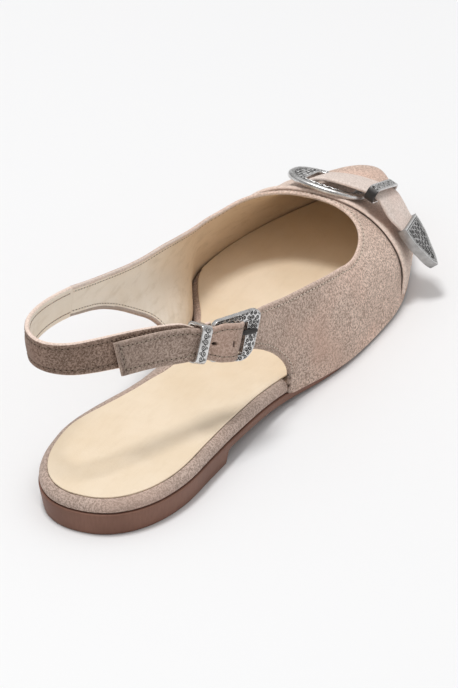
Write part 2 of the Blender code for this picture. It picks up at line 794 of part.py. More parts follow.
def keeper_axes():
    """Place of the belt's keeper, the way across the belt, outward, and along the belt."""
    place, along, out, cross = belt_frame(VAMP_KEEPER_AT)
    turned = cross * math.cos(VAMP_KEEPER_TURN) + along * math.sin(VAMP_KEEPER_TURN)
    return place, turned, out, np.cross(turned, out)


def make_vamp_keeper(look, collection):
    place, cross, out, along = keeper_axes()
    outer = rounded(*VAMP_KEEPER_SIZE, 1.8, 3)
    inner = rounded(BELT_WIDTH + 2 * GAP + 0.6, VAMP_KEEPER_SIZE[1] - 2.2, 0.8, 2)
    return plate("vamp_keeper", (outer, inner), VAMP_KEEPER_WIDTH, 0.3,
                 placed(place + out * VAMP_KEEPER_OUT, cross, out, along), look, collection)


def make_vamp_tip(look, collection, cutters):
    """Pointed metal end that takes the belt's end in a socket."""
    place, along, out, cross = belt_frame(BELT_LENGTH)
    tip_along = np.array((math.cos(TIP_DROP), 0.0, -math.sin(TIP_DROP)))
    tip_out = np.cross(tip_along, cross)
    tip_out = tip_out / np.linalg.norm(tip_out)
    tip_cross = np.cross(tip_out, tip_along)
    half = BELT_WIDTH / 2 + 1.0
    outline = [(-TIP_SOCKET, -half), (1.0, -half), (5.0, -half * 0.93), (10.0, -half * 0.68),
               (15.0, -half * 0.34), (TIP_LENGTH - 0.8, -1.0), (TIP_LENGTH, 0.0)]
    outline += [(u, -v) for u, v in outline[-2::-1]]
    tip = plate("vamp_tip", (outline,), TIP_THICK, 0.4,
                placed(place, tip_along, tip_cross, tip_out), look, collection)
    sections = []
    for q in np.linspace(BELT_LENGTH - 6.0, BELT_LENGTH, 8):
        place, along, out, cross = belt_frame(q)
        reach = along * (GAP + 0.1 if q == BELT_LENGTH else 0.0)
        sections.append(strap_section(place + reach, cross, out, BELT_WIDTH + 2 * GAP,
                                      BELT_THICK + 2 * GAP, 0.3))
    socket = loft("belt_socket", sections, look, cutters)
    return combine(tip, socket, "DIFFERENCE", look)


def main():
    for thing in list(bpy.data.objects):
        bpy.data.objects.remove(thing)
    shoe = new_collection("pointed_toe_buckle_sandal")
    cutters = new_collection("cutters", hidden=True)
    suede = material("taupe_suede", (0.46, 0.34, 0.27), 0.9)
    board = material("rand_suede", (0.44, 0.33, 0.26), 0.9)
    strap = material("strap_suede", (0.42, 0.31, 0.25), 0.9)
    band = material("band_suede", (0.47, 0.35, 0.28), 0.9)
    belt = material("belt_suede", (0.48, 0.36, 0.29), 0.9)
    sock = material("cream_leather", (0.80, 0.66, 0.48), 0.5)
    rubber = material("brown_rubber", (0.20, 0.11, 0.07), 0.5)
    names = ("sling_buckle", "sling_prong", "sling_keeper", "vamp_buckle", "vamp_keeper", "vamp_tip")
    metal = {name: material(name + "_metal", (0.55, 0.54, 0.52), 0.3, 1.0) for name in names}

    make_outsole(rubber, shoe)
    make_footbed(board, shoe)
    make_insole(sock, shoe)
    make_upper(suede, shoe, cutters)
    make_heel_strap(strap, shoe, cutters)
    make_sling_buckle(metal["sling_buckle"], shoe)
    make_prong(metal["sling_prong"], shoe)
    make_sling_keeper(metal["sling_keeper"], shoe)
    make_vamp_band(band, shoe)
    make_vamp_belt(belt, shoe)
    make_vamp_buckle(metal["vamp_buckle"], shoe)
    make_vamp_keeper(metal["vamp_keeper"], shoe)
    make_vamp_tip(metal["vamp_tip"], shoe, cutters)
    for thing in cutters.objects:
        thing.display_type = "WIRE"
        thing.hide_render = True
    for thing in shoe.objects:
        for face in thing.data.polygons:
            face.use_smooth = False


main()
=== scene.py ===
"""Looks of the pointed toe flat slingback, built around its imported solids.

Sizes are in millimetres.  A point is (x, s, z): x is positive on the lateral side, station s
runs from the back of the heel to the toe tip, z is up from the floor.  piece() turns points
into metres in the part's own frame.
"""
import math
from functools import partial

import bmesh
import bpy
import numpy as np
from mathutils import Matrix, Vector, noise
from mathutils.bvhtree import BVHTree
from mathutils.kdtree import KDTree


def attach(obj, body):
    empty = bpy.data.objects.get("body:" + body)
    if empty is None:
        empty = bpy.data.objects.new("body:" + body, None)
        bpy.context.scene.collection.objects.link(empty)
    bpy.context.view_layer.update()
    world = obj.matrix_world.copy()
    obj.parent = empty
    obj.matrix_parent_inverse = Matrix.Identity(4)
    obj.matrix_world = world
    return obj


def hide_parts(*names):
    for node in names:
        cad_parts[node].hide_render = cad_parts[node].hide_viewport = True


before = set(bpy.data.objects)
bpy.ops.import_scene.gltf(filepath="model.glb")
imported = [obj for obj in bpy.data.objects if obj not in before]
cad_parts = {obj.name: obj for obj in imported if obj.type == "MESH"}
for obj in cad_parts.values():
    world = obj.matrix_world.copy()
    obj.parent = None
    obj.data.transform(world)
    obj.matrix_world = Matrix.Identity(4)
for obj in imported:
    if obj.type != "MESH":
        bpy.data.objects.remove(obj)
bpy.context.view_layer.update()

MM = 0.001
LATERAL = 1
MEDIAL = -1


def table(columns, *rows):
    """Short table with named columns, one row for each section."""
    return dict(zip(columns.split(), np.array(rows, float).T))


# Sole
SOLE_LENGTH = 266.0
HEEL_CENTRE = 33.0
HEEL_BREAST = 64.0
SHANK_RISE = 5.7
FOREFOOT_FLAT = (150.0, 192.0)
TOE_SPRING = 7.0
TIP_ROUND = 4.0
OUTSOLE_THICK = 3.4
EDGE_TAPER = 1.3
BOARD_THICK = 3.6
SOCK_THICK = 0.9
SOCK_INSET = 3.6
GAP = 0.3

# Upper
WALL = 2.0
FEATHER_INSET = 0.2
FEATHER_LIFT = 0.6
THROAT = 197.0
TOE_ROUND_FROM = 240.0
STRAP_WIDTH = 13.2
STRAP_THICK = 1.8

# Plan half-widths of the sole, height of the instep over the feather edge, and how far
# the wall of each side swells out past the sole's edge.
LAST = table(
    "s     medial  lateral  instep  medial_swell  lateral_swell",
    (45,   29.0,   29.0,    103.0,  11.0,         0.0),
    (80,   21.5,   29.8,    91.0,   13.3,         0.0),
    (112,  19.5,   31.5,    79.0,   13.2,         0.0),
    (146,  25.5,   38.5,    60.0,   5.4,          0.4),
    (163,  34.8,   40.1,    51.4,   1.2,          0.8),
    (181,  40.5,   40.5,    44.5,   -2.2,         1.2),
    (205,  40.5,   40.5,    34.3,   -3.8,         1.8),
    (230,  40.5,   40.5,    26.2,   -1.2,         1.6),
    (266,  40.5,   40.5,    13.5,   0.0,          0.0),
)
BALL = 181.0
HEEL_ROUND = 45.0

# Roundness of the heel and the toe in plan and of the last's side and top in section, and how much more
# than the sides the tip is drawn in by an inset.
HEEL_POWER = 2.25
TOE_POWER = 2.1
SIDE_POWER = 2.4
TOP_POWER = 2.2
TIP_DRAW = 1.55

# Where the round throat line joins each wing's collar.
COLLAR_START = {LATERAL: (157.0, 37.6), MEDIAL: (143.0, 42.6)}

# Wings: collar point and lower edge point of each row, z 0 meaning the feather edge.
WING = {
    LATERAL: table(
        "top_s  top_z  low_s  low_z",
        (157.0, 37.6,  157.0, 0.0),
        (148.0, 39.1,  143.0, 0.0),
        (139.0, 40.7,  129.5, 0.0),
        (131.0, 41.9,  119.6, 0.0),
        (124.5, 42.8,  114.0, 0.0),
        (118.0, 43.8,  114.4, 10.0),
        (111.5, 45.2,  113.1, 16.5),
        (105.5, 46.7,  108.8, 22.5),
        (100.0, 48.1,  101.6, 28.9),
        (94.6,  49.3,  91.8,  35.3),
    ),
    MEDIAL: table(
        "top_s  top_z  low_s  low_z",
        (143.0, 42.6,  143.0, 0.0),
        (137.0, 43.8,  133.0, 0.0),
        (131.0, 45.1,  124.8, 0.0),
        (125.5, 46.3,  119.3, 0.0),
        (119.5, 47.7,  118.7, 10.0),
        (112.5, 49.5,  116.3, 18.5),
        (105.0, 51.6,  111.5, 24.8),
        (97.0,  53.9,  104.0, 30.3),
        (89.0,  56.2,  95.0,  36.4),
        (80.0,  58.5,  84.0,  42.6),
        (70.5,  61.1,  72.0,  47.5),
        (62.2,  63.4,  58.9,  51.5),
    ),
}

# Centre line of the sling strap from the lateral wing round the heel to the medial seam.
# Lean turns the strap's lower edge outward.
STRAP_PATH = table(
    "x      s      z     lean",
    (28.4,  93.2,  42.3, 0.0),
    (25.4,  84.5,  44.2, 3.0),
    (17.6,  67.5,  49.4, 8.0),
    (9.6,   50.4,  54.8, 9.0),
    (2.3,   34.5,  58.5, 8.0),
    (-4.0,  21.5,  61.2, 3.0),
    (-9.5,  14.2,  62.8, -3.0),
    (-16.5, 11.6,  63.6, -7.0),
    (-23.2, 14.3,  63.8, -5.0),
    (-28.0, 21.0,  63.7, -3.0),
    (-30.6, 31.0,  63.0, -1.0),
    (-31.0, 44.0,  61.2, 0.0),
    (-30.9, 59.2,  57.6, 0.0),
)

# Lateral tail: how far it stands outside the sling strap and below it, by distance q.
TAIL = table(
    "q     out   drop",
    (0.0,  -0.2, 0.0),
    (3.0,  -0.9, 0.0),
    (5.6,  -1.0, 0.2),
    (8.0,  -1.0, 0.5),
    (10.5, 1.8,  0.6),
    (13.1, 4.5,  0.6),
    (17.0, 5.2,  0.6),
    (22.9, 4.8,  0.6),
    (30.5, 3.7,  0.8),
    (39.0, 2.6,  1.2),
    (69.0, 2.5,  2.2),
)
TAIL_END = 69.0
TAIL_SLANT = 4.4

# Sling buckle: a flat frame on the tail, its rear rail is the bar.
FRAME_LENGTH = 22.0
FRAME_HEIGHT = 21.0
FRAME_THICK = 2.0
FRAME_FRONT_RAIL = 5.6
FRAME_BAR = 1.8
FRAME_WINDOW_HEIGHT = 14.0
FRAME_WINDOW_DROP = 0.6
FRAME_TOP_FALL = 2.6
FRAME_BOTTOM_RISE = 1.4
FRAME_LEAN = 1.7
FRAME_START = 1.8
FRAME_FRONT_OUT = 1.6
BAR_AT = FRAME_START + FRAME_LENGTH - FRAME_BAR / 2
LOOP_BORE = 1.7
LOOP_RADIUS = 2.8
PRONG_RADIUS = 0.8
KEEPER_AT = 30.4
KEEPER_WIDTH = 5.0
KEEPER_WALL = 1.2

# Vamp belt
BAND_REAR = 199.5
BAND_WIDTH = 23.0
BAND_THICK = 1.2
BELT_WIDTH = 15.4
BELT_THICK = 1.6
BELT_PITCH = math.radians(19.0)
BELT_S = 210.6
BELT_PATH = table(
    "x     z",
    (-2.0, 40.8),
    (-0.9, 41.3),
    (0.4,  42.2),
    (3.5,  43.2),
    (9.0,  43.6),
    (15.0, 43.3),
    (19.0, 42.8),
    (22.6, 42.2),
    (26.4, 41.0),
    (29.2, 38.6),
    (31.4, 35.4),
    (34.4, 31.5),
    (38.0, 27.4),
)
VAMP_FRAME_HALF = (16.4, 12.0)
VAMP_FRAME_POWER = 2.4
VAMP_FRAME_THICK = 2.2
VAMP_FRAME_AT = (4.05, 210.4, 40.6)
VAMP_FRAME_PITCH = math.radians(17.0)
VAMP_FRAME_TILT = math.radians(8.0)
VAMP_WINDOW = (-7.6, 11.6, 8.6)
VAMP_KEEPER_AT = 28.6
VAMP_KEEPER_TURN = math.radians(7.0)
VAMP_KEEPER_WIDTH = 5.0
VAMP_KEEPER_SIZE = (20.0, 6.2)
VAMP_KEEPER_OUT = 0.5
TIP_LENGTH = 17.0
TIP_THICK = 3.6
TIP_SOCKET = 3.0
TIP_DROP = math.radians(55.0)


# Curves and paths
def smooth(start, end, value):
    """Soft step from 0 at the start to 1 at the end."""
    t = np.clip((value - start) / (end - start), 0.0, 1.0)
    return t * t * (3.0 - 2.0 * t)


def bump_at(value, middle, width):
    """Smooth bump of height 1 about a middle."""
    return np.exp(-((value - middle) / width) ** 2)


def unit(vectors):
    """The same vectors made one long."""
    return vectors / np.maximum(np.linalg.norm(vectors, axis=-1, keepdims=True), 1e-9)


def sample(gone, rows, places):
    """Rows of values read at places along a line, gone being each row's distance along it."""
    return np.stack([np.interp(places, gone, column) for column in rows.T], axis=-1)


def line_length(points):
    """Distance of each point of a polyline from its start."""
    return np.concatenate(((0.0,), np.cumsum(np.linalg.norm(np.diff(points, axis=0), axis=1))))


def along_line(points, places):
    """Points at given distances along a polyline."""
    return sample(line_length(points), points, places)


def spline(xs, ys, end_slopes=None):
    """Cubic spline through a short table, with natural ends or given end slopes."""
    xs = np.asarray(xs, float)
    ys = np.asarray(ys, float)
    count = len(xs)
    step = np.diff(xs)
    rise = np.diff(ys) / step
    matrix = np.zeros((count, count))
    right = np.zeros(count)
    for i in range(1, count - 1):
        matrix[i, i - 1:i + 2] = step[i], 2.0 * (step[i - 1] + step[i]), step[i - 1]
        right[i] = 3.0 * (step[i] * rise[i - 1] + step[i - 1] * rise[i])
    if end_slopes:
        matrix[0, 0] = matrix[-1, -1] = 1.0
        right[0], right[-1] = end_slopes
    else:
        matrix[0, :2] = 2.0, 1.0
        matrix[-1, -2:] = 1.0, 2.0
        right[0], right[-1] = 3.0 * rise[0], 3.0 * rise[-1]
    slope = np.linalg.solve(matrix, right)

    def value(at):
        at = np.clip(at, xs[0], xs[-1])
        i = np.clip(np.searchsorted(xs, at, side="right") - 1, 0, count - 2)
        t = (at - xs[i]) / step[i]
        start = (1.0 + 2.0 * t) * (1.0 - t) ** 2 * ys[i] + t * (1.0 - t) ** 2 * step[i] * slope[i]
        end = t * t * (3.0 - 2.0 * t) * ys[i + 1] + t * t * (t - 1.0) * step[i] * slope[i + 1]
        return start + end

    return value


MIDDLE = LAST["s"] <= BALL
SIDE_NAMES = {LATERAL: "lateral", MEDIAL: "medial"}
WAIST = {side: spline(LAST["s"][MIDDLE], LAST[name][MIDDLE], (0.0, 0.0))
         for side, name in SIDE_NAMES.items()}
SWELL = {side: spline(LAST["s"], LAST[name + "_swell"]) for side, name in SIDE_NAMES.items()}
INSTEP = spline(LAST["s"], LAST["instep"])


def half_width(s, side, inset=0.0):
    """Plan half-width of the sole at a station, drawn in by an inset."""
    tip = SOLE_LENGTH - TIP_DRAW * inset
    if s < HEEL_ROUND:
        share = min(1.0, (HEEL_ROUND - s) / (HEEL_ROUND - inset))
        return (WAIST[side](HEEL_ROUND) - inset) * (1.0 - share ** HEEL_POWER) ** (1.0 / HEEL_POWER)
    if s < BALL:
        return WAIST[side](s) - inset

    def reach(d):
        return math.sqrt(d * d + 2.0 * TIP_ROUND * d)

    share = 1.0 - reach(max(0.0, tip - s)) / reach(tip - BALL)
    return (WAIST[side](BALL) - inset) * (1.0 - share ** TOE_POWER) ** (TOE_POWER / 2.0)


def underside(s):
    """Underside of the sole without the heel block."""
    toe = np.clip((s - FOREFOOT_FLAT[1]) / (SOLE_LENGTH - FOREFOOT_FLAT[1]), 0.0, 1.0)
    return SHANK_RISE * (1.0 - smooth(HEEL_BREAST, FOREFOOT_FLAT[0], s)) + TOE_SPRING * toe ** 2


def feather(s):
    """Height of the edge where the upper meets the sole."""
    return underside(s) + OUTSOLE_THICK + FEATHER_LIFT


def instep(s):
    """Height of the last over the feather edge, rounded off at the toe."""
    share = max(0.0, (s - TOE_ROUND_FROM) / (SOLE_LENGTH - TOE_ROUND_FROM))
    return INSTEP(s) * (1.0 - min(1.0, share) ** 3) ** (1.0 / 3.0)


def last_point(s, angle, side):
    """Point of the last at a station and an angle round it, 0 at the feather edge."""
    height = math.sin(angle) ** (2.0 / TOP_POWER)
    width = half_width(s, side) - FEATHER_INSET + SWELL[side](s) * smooth(0.0, 0.5, height)
    x = side * width * max(0.0, math.cos(angle)) ** (2.0 / SIDE_POWER)
    return np.array((x, s, feather(s) + instep(s) * height))


def angle_at(s, z):
    """Angle round the last at a height."""
    height = np.clip((z - feather(s)) / instep(s), 0.0, 1.0)
    return math.asin(height ** (TOP_POWER / 2.0))


def outward_point(s, angle, side, out):
    """Point of the last moved out along its surface normal."""
    along = last_point(s + 0.5, angle, side) - last_point(s - 0.5, angle, side)
    lower = last_point(s, max(0.0, angle - 0.02), side)
    upper = last_point(s, min(math.pi / 2, angle + 0.02), side)
    return last_point(s, angle, side) + out * unit(side * np.cross(along, upper - lower))


def path_by_length(points):
    """Smooth path through points, as a function of the distance along it, and its length."""
    points = np.asarray(points, float)
    chord = line_length(points[:, :3])
    fine = np.linspace(0.0, chord[-1], 600)
    places = np.stack([spline(chord, column)(fine) for column in points.T], axis=1)
    gone = line_length(places[:, :3])
    return partial(sample, gone, places), gone[-1]


STRAP, STRAP_LENGTH = path_by_length(np.stack(list(STRAP_PATH.values()), axis=1))
TAIL_OUT = spline(TAIL["q"], TAIL["out"])
TAIL_DROP = spline(TAIL["q"], TAIL["drop"])


def strap_frame(q):
    """Place, direction, outward side and upward side of the sling strap."""
    here = STRAP(np.clip(q, 0.0, STRAP_LENGTH))
    ahead = STRAP(np.clip(q + 0.6, 0.6, STRAP_LENGTH))
    behind = STRAP(np.clip(q - 0.6, 0.0, STRAP_LENGTH - 0.6))
    along = unit((ahead - behind)[:3])
    out = unit(np.array((-along[1], along[0], 0.0)))
    up = np.cross(along, out)
    up = up if up[2] > 0 else -up
    lean = math.radians(here[3])
    leant_up = up * math.cos(lean) - out * math.sin(lean)
    leant_out = out * math.cos(lean) + up * math.sin(lean)
    place = here[:3] + along * (min(0.0, q) + max(0.0, q - STRAP_LENGTH))
    return place, along, leant_out, leant_up


def belt_frame(q):
    """Place, direction, outward side and cross side of the vamp belt."""
    along = unit(BELT(min(q + 0.4, BELT_LENGTH)) - BELT(max(q - 0.4, 0.0)))
    out = unit(np.cross(along, (0.0, math.cos(BELT_PITCH), -math.sin(BELT_PITCH))))
    return BELT(q), along, out, np.cross(out, along)


BELT, BELT_LENGTH = path_by_length(
    np.stack((BELT_PATH["x"], np.full(len(BELT_PATH["x"]), BELT_S), BELT_PATH["z"]), axis=1))


def frame_point(u, v):
    """Point of the sling buckle's plane with the front rail's lean put in, v being positive downward."""
    return u + FRAME_LEAN * (v / FRAME_HEIGHT + 0.5) * (0.5 - u / FRAME_LENGTH), v


# Where the keeper sits, how far it draws the tail in, as a share of its width, and the strap's top
# edge down.  The tail ends a little past the solid's.
KEEPER_PLACE = KEEPER_AT + 1.3
TAIL_PINCH = 0.12
STRAP_PINCH = 1.8
TAIL_TIP = TAIL_END + 1.3


def tail_swell(q):
    """How far the tail's lower and top edge bulge, the top one drawn in where it dips in the frame."""
    over = smooth(10.0, 13.0, q) * (1.0 - smooth(22.0, 27.0, q))
    return 0.7 * over, 0.8 * over - 0.9 * bump_at(q, 8.4, 1.8)


def tail_points(q):
    """Outer face of the lateral tail, from its lower edge to its top edge."""
    place, along, out, up = strap_frame(q)
    slant = along * TAIL_SLANT * smooth(TAIL_END - 14.0, TAIL_END, q)
    lean = FRAME_LEAN * (1.0 - smooth(14.0, 26.0, q))
    width = STRAP_WIDTH * (1.0 - TAIL_PINCH * bump_at(q, KEEPER_PLACE, 5.0))
    low, high = tail_swell(q)
    points = []
    for v in np.linspace(-0.5, 0.5, 9):
        lift = TAIL_OUT(q - lean * (0.5 - v)) + WALL / 2
        rise = width * v + high * (0.5 + v) - low * (0.5 - v) - TAIL_DROP(q)
        points.append(place + out * lift + up * rise + slant * v)
    return np.array(points)


def strap_row(q):
    """Outer face of the sling strap, from its lower edge to its top edge."""
    place, _, out, up = strap_frame(q)
    low = -STRAP_WIDTH / 2 + 1.4 * smooth(110.0, 148.0, q)
    high = STRAP_WIDTH / 2 - STRAP_PINCH * bump_at(q, KEEPER_PLACE, 5.0)
    return np.array([place + out * STRAP_THICK / 2 + up * v for v in (low, high)])


def buckle_axes():
    """Plane of the sling buckle: its middle, the way to the heel, up the strap and outward."""
    front, _, out, up = strap_frame(FRAME_START + FRAME_FRONT_RAIL / 2)
    bar = strap_frame(BAR_AT)[0]
    along = unit(bar - front - out * FRAME_FRONT_OUT)
    normal = unit(np.cross(along, up))
    normal = normal if np.dot(normal, out) > 0 else -normal
    middle = bar - along * (FRAME_LENGTH - FRAME_BAR) / 2
    return middle, along, np.cross(normal, along), normal


def placed(axes, local):
    """Points of a local frame, given by its middle and three axes, in the shoe's frame."""
    return np.asarray(axes[0]) + local @ np.stack(axes[1:])


# Meshes
def linked(name, data):
    """New object in the scene."""
    thing = bpy.data.objects.new(name, data)
    bpy.context.scene.collection.objects.link(thing)
    return thing


def piece(name, points, faces, looks, node=None, kinds=None, marks=None):
    """Mesh object that rides on the part's one body and may stand for a solid."""
    mesh = bpy.data.meshes.new(name)
    metres = (np.asarray(points, float) - (0.0, HEEL_CENTRE, 0.0)) * MM
    mesh.from_pydata(metres.tolist(), [], [[int(i) for i in face] for face in faces])
    mesh.polygons.foreach_set("use_smooth", np.ones(len(mesh.polygons), bool))
    if kinds is not None:
        mesh.polygons.foreach_set("material_index", np.asarray(kinds, np.int32))
    for mark, values in (marks or {}).items():
        layer = mesh.attributes.new(mark, "FLOAT", "POINT")
        layer.data.foreach_set("value", np.asarray(values, np.float32))
    for look in looks:
        mesh.materials.append(look)
    mesh.update()
    thing = linked(name, mesh)
    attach(thing, "root")
    if node:
        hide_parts(node)


def ruffle(points, scale, seed):
    """Soft noise about 0 at each point, scale being the size of its features in mm."""
    shift = Vector((seed * 17.3, seed * 5.1, seed * 9.7))
    return np.array([noise.noise(Vector(p) / scale + shift) for p in points])


# Distances from an edge where the columns of a leather grid bunch up, so that lips and seams are round.
EDGE_COLUMNS = np.array((0.0, 0.1, 0.25, 0.45, 0.7, 1.0, 1.35, 1.7, 2.05, 2.4, 2.8, 3.3, 4.0))
MIDDLE_COLUMNS = 24


def spread(line):
    """Row of a leather grid: a polyline sampled closely near its two ends."""
    length = line_length(line)[-1]
    near = EDGE_COLUMNS * min(1.0, length / 16.0)
    middle = np.linspace(near[-1], length - near[-1], MIDDLE_COLUMNS)[1:-1]
    return along_line(line, np.concatenate((near, middle, length - near[::-1])))


def weld_sheet(grids):
    """One open sheet from grids of points: points, normals, faces and border edges."""
    bm = bmesh.new()
    for grid, flip in grids:
        rows = [[bm.verts.new(p) for p in row] for row in grid]
        for low, high in zip(rows, rows[1:]):
            for i in range(len(low) - 1):
                corners = (low[i], low[i + 1], high[i + 1], high[i])
                bm.faces.new(corners[::-1] if flip else corners)
    bmesh.ops.remove_doubles(bm, verts=bm.verts, dist=0.002)
    bm.verts.index_update()
    bm.normal_update()
    points = np.array([v.co for v in bm.verts])
    normals = np.array([v.normal for v in bm.verts])
    faces = [[v.index for v in face.verts] for face in bm.faces]
    borders = []
    for face in bm.faces:
        for loop in face.loops:
            if loop.edge.is_boundary:
                borders.append((loop.vert.index, loop.link_loop_next.vert.index))
    bm.free()
    return points, normals, faces, borders


def nearest(points, targets):
    """Distance of each point to the nearest of some targets."""
    tree = KDTree(len(targets))
    for i, target in enumerate(targets):
        tree.insert(target, i)
    tree.balance()
    return np.array([tree.find(point)[2] for point in points])


def distance_to(points, lines, step=0.1):
    """Distance of each point to the nearest of some polylines."""
    dense = [along_line(line, np.arange(0.0, line_length(line)[-1] + step, step)) for line in lines]
    return nearest(points, np.concatenate(dense))


def lip(distance, radius):
    """How far a rounded edge falls in, by the distance from the edge."""
    reach = np.clip(radius - distance, 0.0, radius)
    return radius - np.sqrt(radius * radius - reach * reach)


# Kinds of a wall's faces, and how near its two faces meet in one.
OUTER, INNER, RIM = 0, 1, 2
WALL_LEAST = 0.03


def shell(sheet, out, inn):
    """Closed wall between two offsets of a sheet.

    Gives its points, its faces, the kind of each face, and a function that lays marks of the outer and
    the inner face on the points.
    """
    points, normals, faces, borders = sheet
    outer = points + normals * out[:, None]
    inner = points + normals * inn[:, None]
    apart = np.linalg.norm(outer - inner, axis=1) > WALL_LEAST
    inside = np.arange(len(points))
    inside[apart] = len(points) + np.arange(apart.sum())
    made = [list(face) for face in faces] + [[inside[i] for i in face[::-1]] for face in faces]
    kinds = [OUTER] * len(faces) + [INNER] * len(faces)
    for a, b in borders:
        corners = [b, a] + [inside[i] for i in (a, b) if apart[i]]
        if len(corners) > 2:
            made.append(corners)
            kinds.append(RIM)

    def marked(on_outer, on_inner):
        return np.concatenate((on_outer, on_inner[apart]))

    return marked(outer, inner), made, np.array(kinds), marked


def face_means(values, faces):
    """Mean of the points' values on each face."""
    return np.array([values[list(face)].mean() for face in faces])


def grid_faces(rows, columns, round_rows=True, round_columns=True, capped=False):
    """Faces of a grid whose rows or columns may close into rings, with caps on its first and last row."""
    faces = []
    for i in range(rows if round_rows else rows - 1):
        for j in range(columns if round_columns else columns - 1):
            low, high, beside = i * columns, (i + 1) % rows * columns, (j + 1) % columns
            faces.append((low + j, high + j, high + beside, low + beside))
    if capped:
        faces.append(tuple(range(columns)))
        faces.append(tuple((rows - 1) * columns + j for j in reversed(range(columns))))
    return faces


# A direction that no tube runs along.
TUBE_HELPER = (0.31, 0.52, 0.79)


def tube(points, radii, sides=6):
    """Closed tube along a polyline: points and faces."""
    ahead = unit(np.gradient(points, axis=0))
    first = unit(np.cross(ahead, TUBE_HELPER))
    second = np.cross(ahead, first)
    turns = np.linspace(0.0, 2.0 * math.pi, sides, endpoint=False)
    made = [p + r * (math.cos(t) * a + math.sin(t) * b)
            for p, r, a, b in zip(points, radii, first, second) for t in turns]
    faces = grid_faces(len(points), sides, round_rows=False, capped=True)
    return np.array(made), [face[::-1] for face in faces]


def merged(parts):
    """Several meshes as one list of points and faces."""
    points, faces, count = [], [], 0
    for part_points, part_faces in parts:
        points.append(np.asarray(part_points, float))
        faces.extend([i + count for i in face] for face in part_faces)
        count += len(part_points)
    return np.concatenate(points), faces


def faced_out(points, faces):
    """The same faces, all turned to look outward."""
    bm = bmesh.new()
    verts = [bm.verts.new(p) for p in points]
    for face in faces:
        bm.faces.new([verts[i] for i in face])
    bm.verts.index_update()
    bmesh.ops.recalc_face_normals(bm, faces=bm.faces)
    turned = [[v.index for v in face.verts] for face in bm.faces]
    bm.free()
    return turned


# Looks
class Nodes:
    """Node tree, built up by small steps."""

    def __init__(self, tree):
        self.tree = tree

    def add(self, kind, inputs=None, **settings):
        """New node, its inputs linked to sockets or set to values."""
        node = self.tree.nodes.new(kind)
        for key, value in settings.items():
            setattr(node, key, value)
        for socket, value in (inputs or {}).items():
            if isinstance(value, bpy.types.NodeSocket):
                self.tree.links.new(value, node.inputs[socket])
            else:
                node.inputs[socket].default_value = value
        return node

    def ramp(self, value, low, high, start=0.0, end=1.0):
        """Value taken from one range to another and held at its ends."""
        node = self.add("ShaderNodeMapRange", {"Value": value, "From Min": low, "From Max": high,
                                               "To Min": start, "To Max": end})
        return node.outputs["Result"]

    def math(self, operation, a, b):
        return self.add("ShaderNodeMath", {0: a, 1: b}, operation=operation).outputs["Value"]


class Look(Nodes):
    """Material with one Principled shader."""

    def __init__(self, name, **settings):
        self.material = bpy.data.materials.new(name)
        self.material.use_nodes = True
        super().__init__(self.material.node_tree)
        self.shader = self.tree.nodes["Principled BSDF"]
        for socket, value in settings.items():
            self.shader.inputs[socket.replace("_", " ")].default_value = value
        self.place = self.add("ShaderNodeTexCoord").outputs["Object"]

    def stretched(self, scale):
        return self.add("ShaderNodeMapping", {"Vector": self.place, "Scale": scale}).outputs["Vector"]

    def noise(self, size, detail=2.0, rough=0.5, place=None):
        """Noise with features of a size in millimetres."""
        node = self.add("ShaderNodeTexNoise", {"Vector": place or self.place, "Scale": 1.0 / (size * MM),
                                               "Detail": detail, "Roughness": rough})
        return node.outputs["Fac"]

    def mark(self, name):
        return self.add("ShaderNodeAttribute", attribute_name=name).outputs["Fac"]

    def mix(self, share, a, b, blend="MIX"):
        node = self.add("ShaderNodeMix", {0: share, 6: a, 7: b}, data_type="RGBA", blend_type=blend)
        return node.outputs[2]

    def bump(self, height, strength, depth):
        inputs = {"Height": height, "Strength": strength, "Distance": depth * MM}
        return self.add("ShaderNodeBump", inputs).outputs["Normal"]

    def set(self, **links):
        """The material, with sockets of its shader linked."""
        for socket, value in links.items():
            self.tree.links.new(value, self.shader.inputs[socket.replace("_", " ")])
        return self.material


def rgb(r, g, b):
    """Colour from 0 to 255 values as a person reads them, made linear."""
    return tuple(((c / 255.0 + 0.055) / 1.055) ** 2.4 for c in (r, g, b)) + (1.0,)


def tinted(colour, shares):
    """A colour with its red, green and blue each taken by a share."""
    return tuple(c * k for c, k in zip(colour, shares)) + (1.0,)


def suede(name, base, sharpness, depth):
    """Brushed suede: two-tone nap in small flecks, soft shaded patches and a rosy cast here and there."""
    look = Look(name, Roughness=0.95, Sheen_Weight=0.12, Sheen_Roughness=0.5, Specular_IOR_Level=0.15)
    fibre = look.noise(0.4, 3.0, 0.65)
    fleck = look.noise(0.85, 2.0, 0.6)
    cloud = look.noise(13.0, 3.0, 0.55)
    blush = look.noise(32.0, 2.0, 0.5)
    nap = look.math("ADD", look.math("MULTIPLY", fibre, 0.5), look.math("MULTIPLY", fleck, 0.5))
    deep = tinted(base, [1.0 - k * depth for k in (0.46, 0.5, 0.53)])
    pale = tinted(base, [1.0 + k * depth for k in (0.4, 0.44, 0.48)])
    half = 0.06 / sharpness
    colour = look.mix(look.ramp(nap, 0.5 - half, 0.5 + half), deep, pale)
    colour = look.mix(look.ramp(cloud, 0.36, 0.64, 0.3, 0.0), colour, deep)
    rosy = tinted(base, (1.18, 1.0, 0.95))
    colour = look.mix(look.ramp(blush, 0.5, 0.68, 0.0, 0.4), colour, rosy)
    colour = look.mix(look.ramp(look.mark("edge"), 0.0, 1.0, 0.35, 0.0), colour, pale)
    # Darker where the shade mark says, in part painted shade; dark painted shade in punched holes, creases
    # and crevices.
    colour = look.mix(look.mark("shade"), colour, (0.55, 0.545, 0.54, 1.0), "MULTIPLY")
    colour = look.mix(look.mark("hollow_shade"), colour, rgb(38, 26, 20))
    return look.set(Base_Color=colour, Normal=look.bump(nap, 0.6, 0.5))


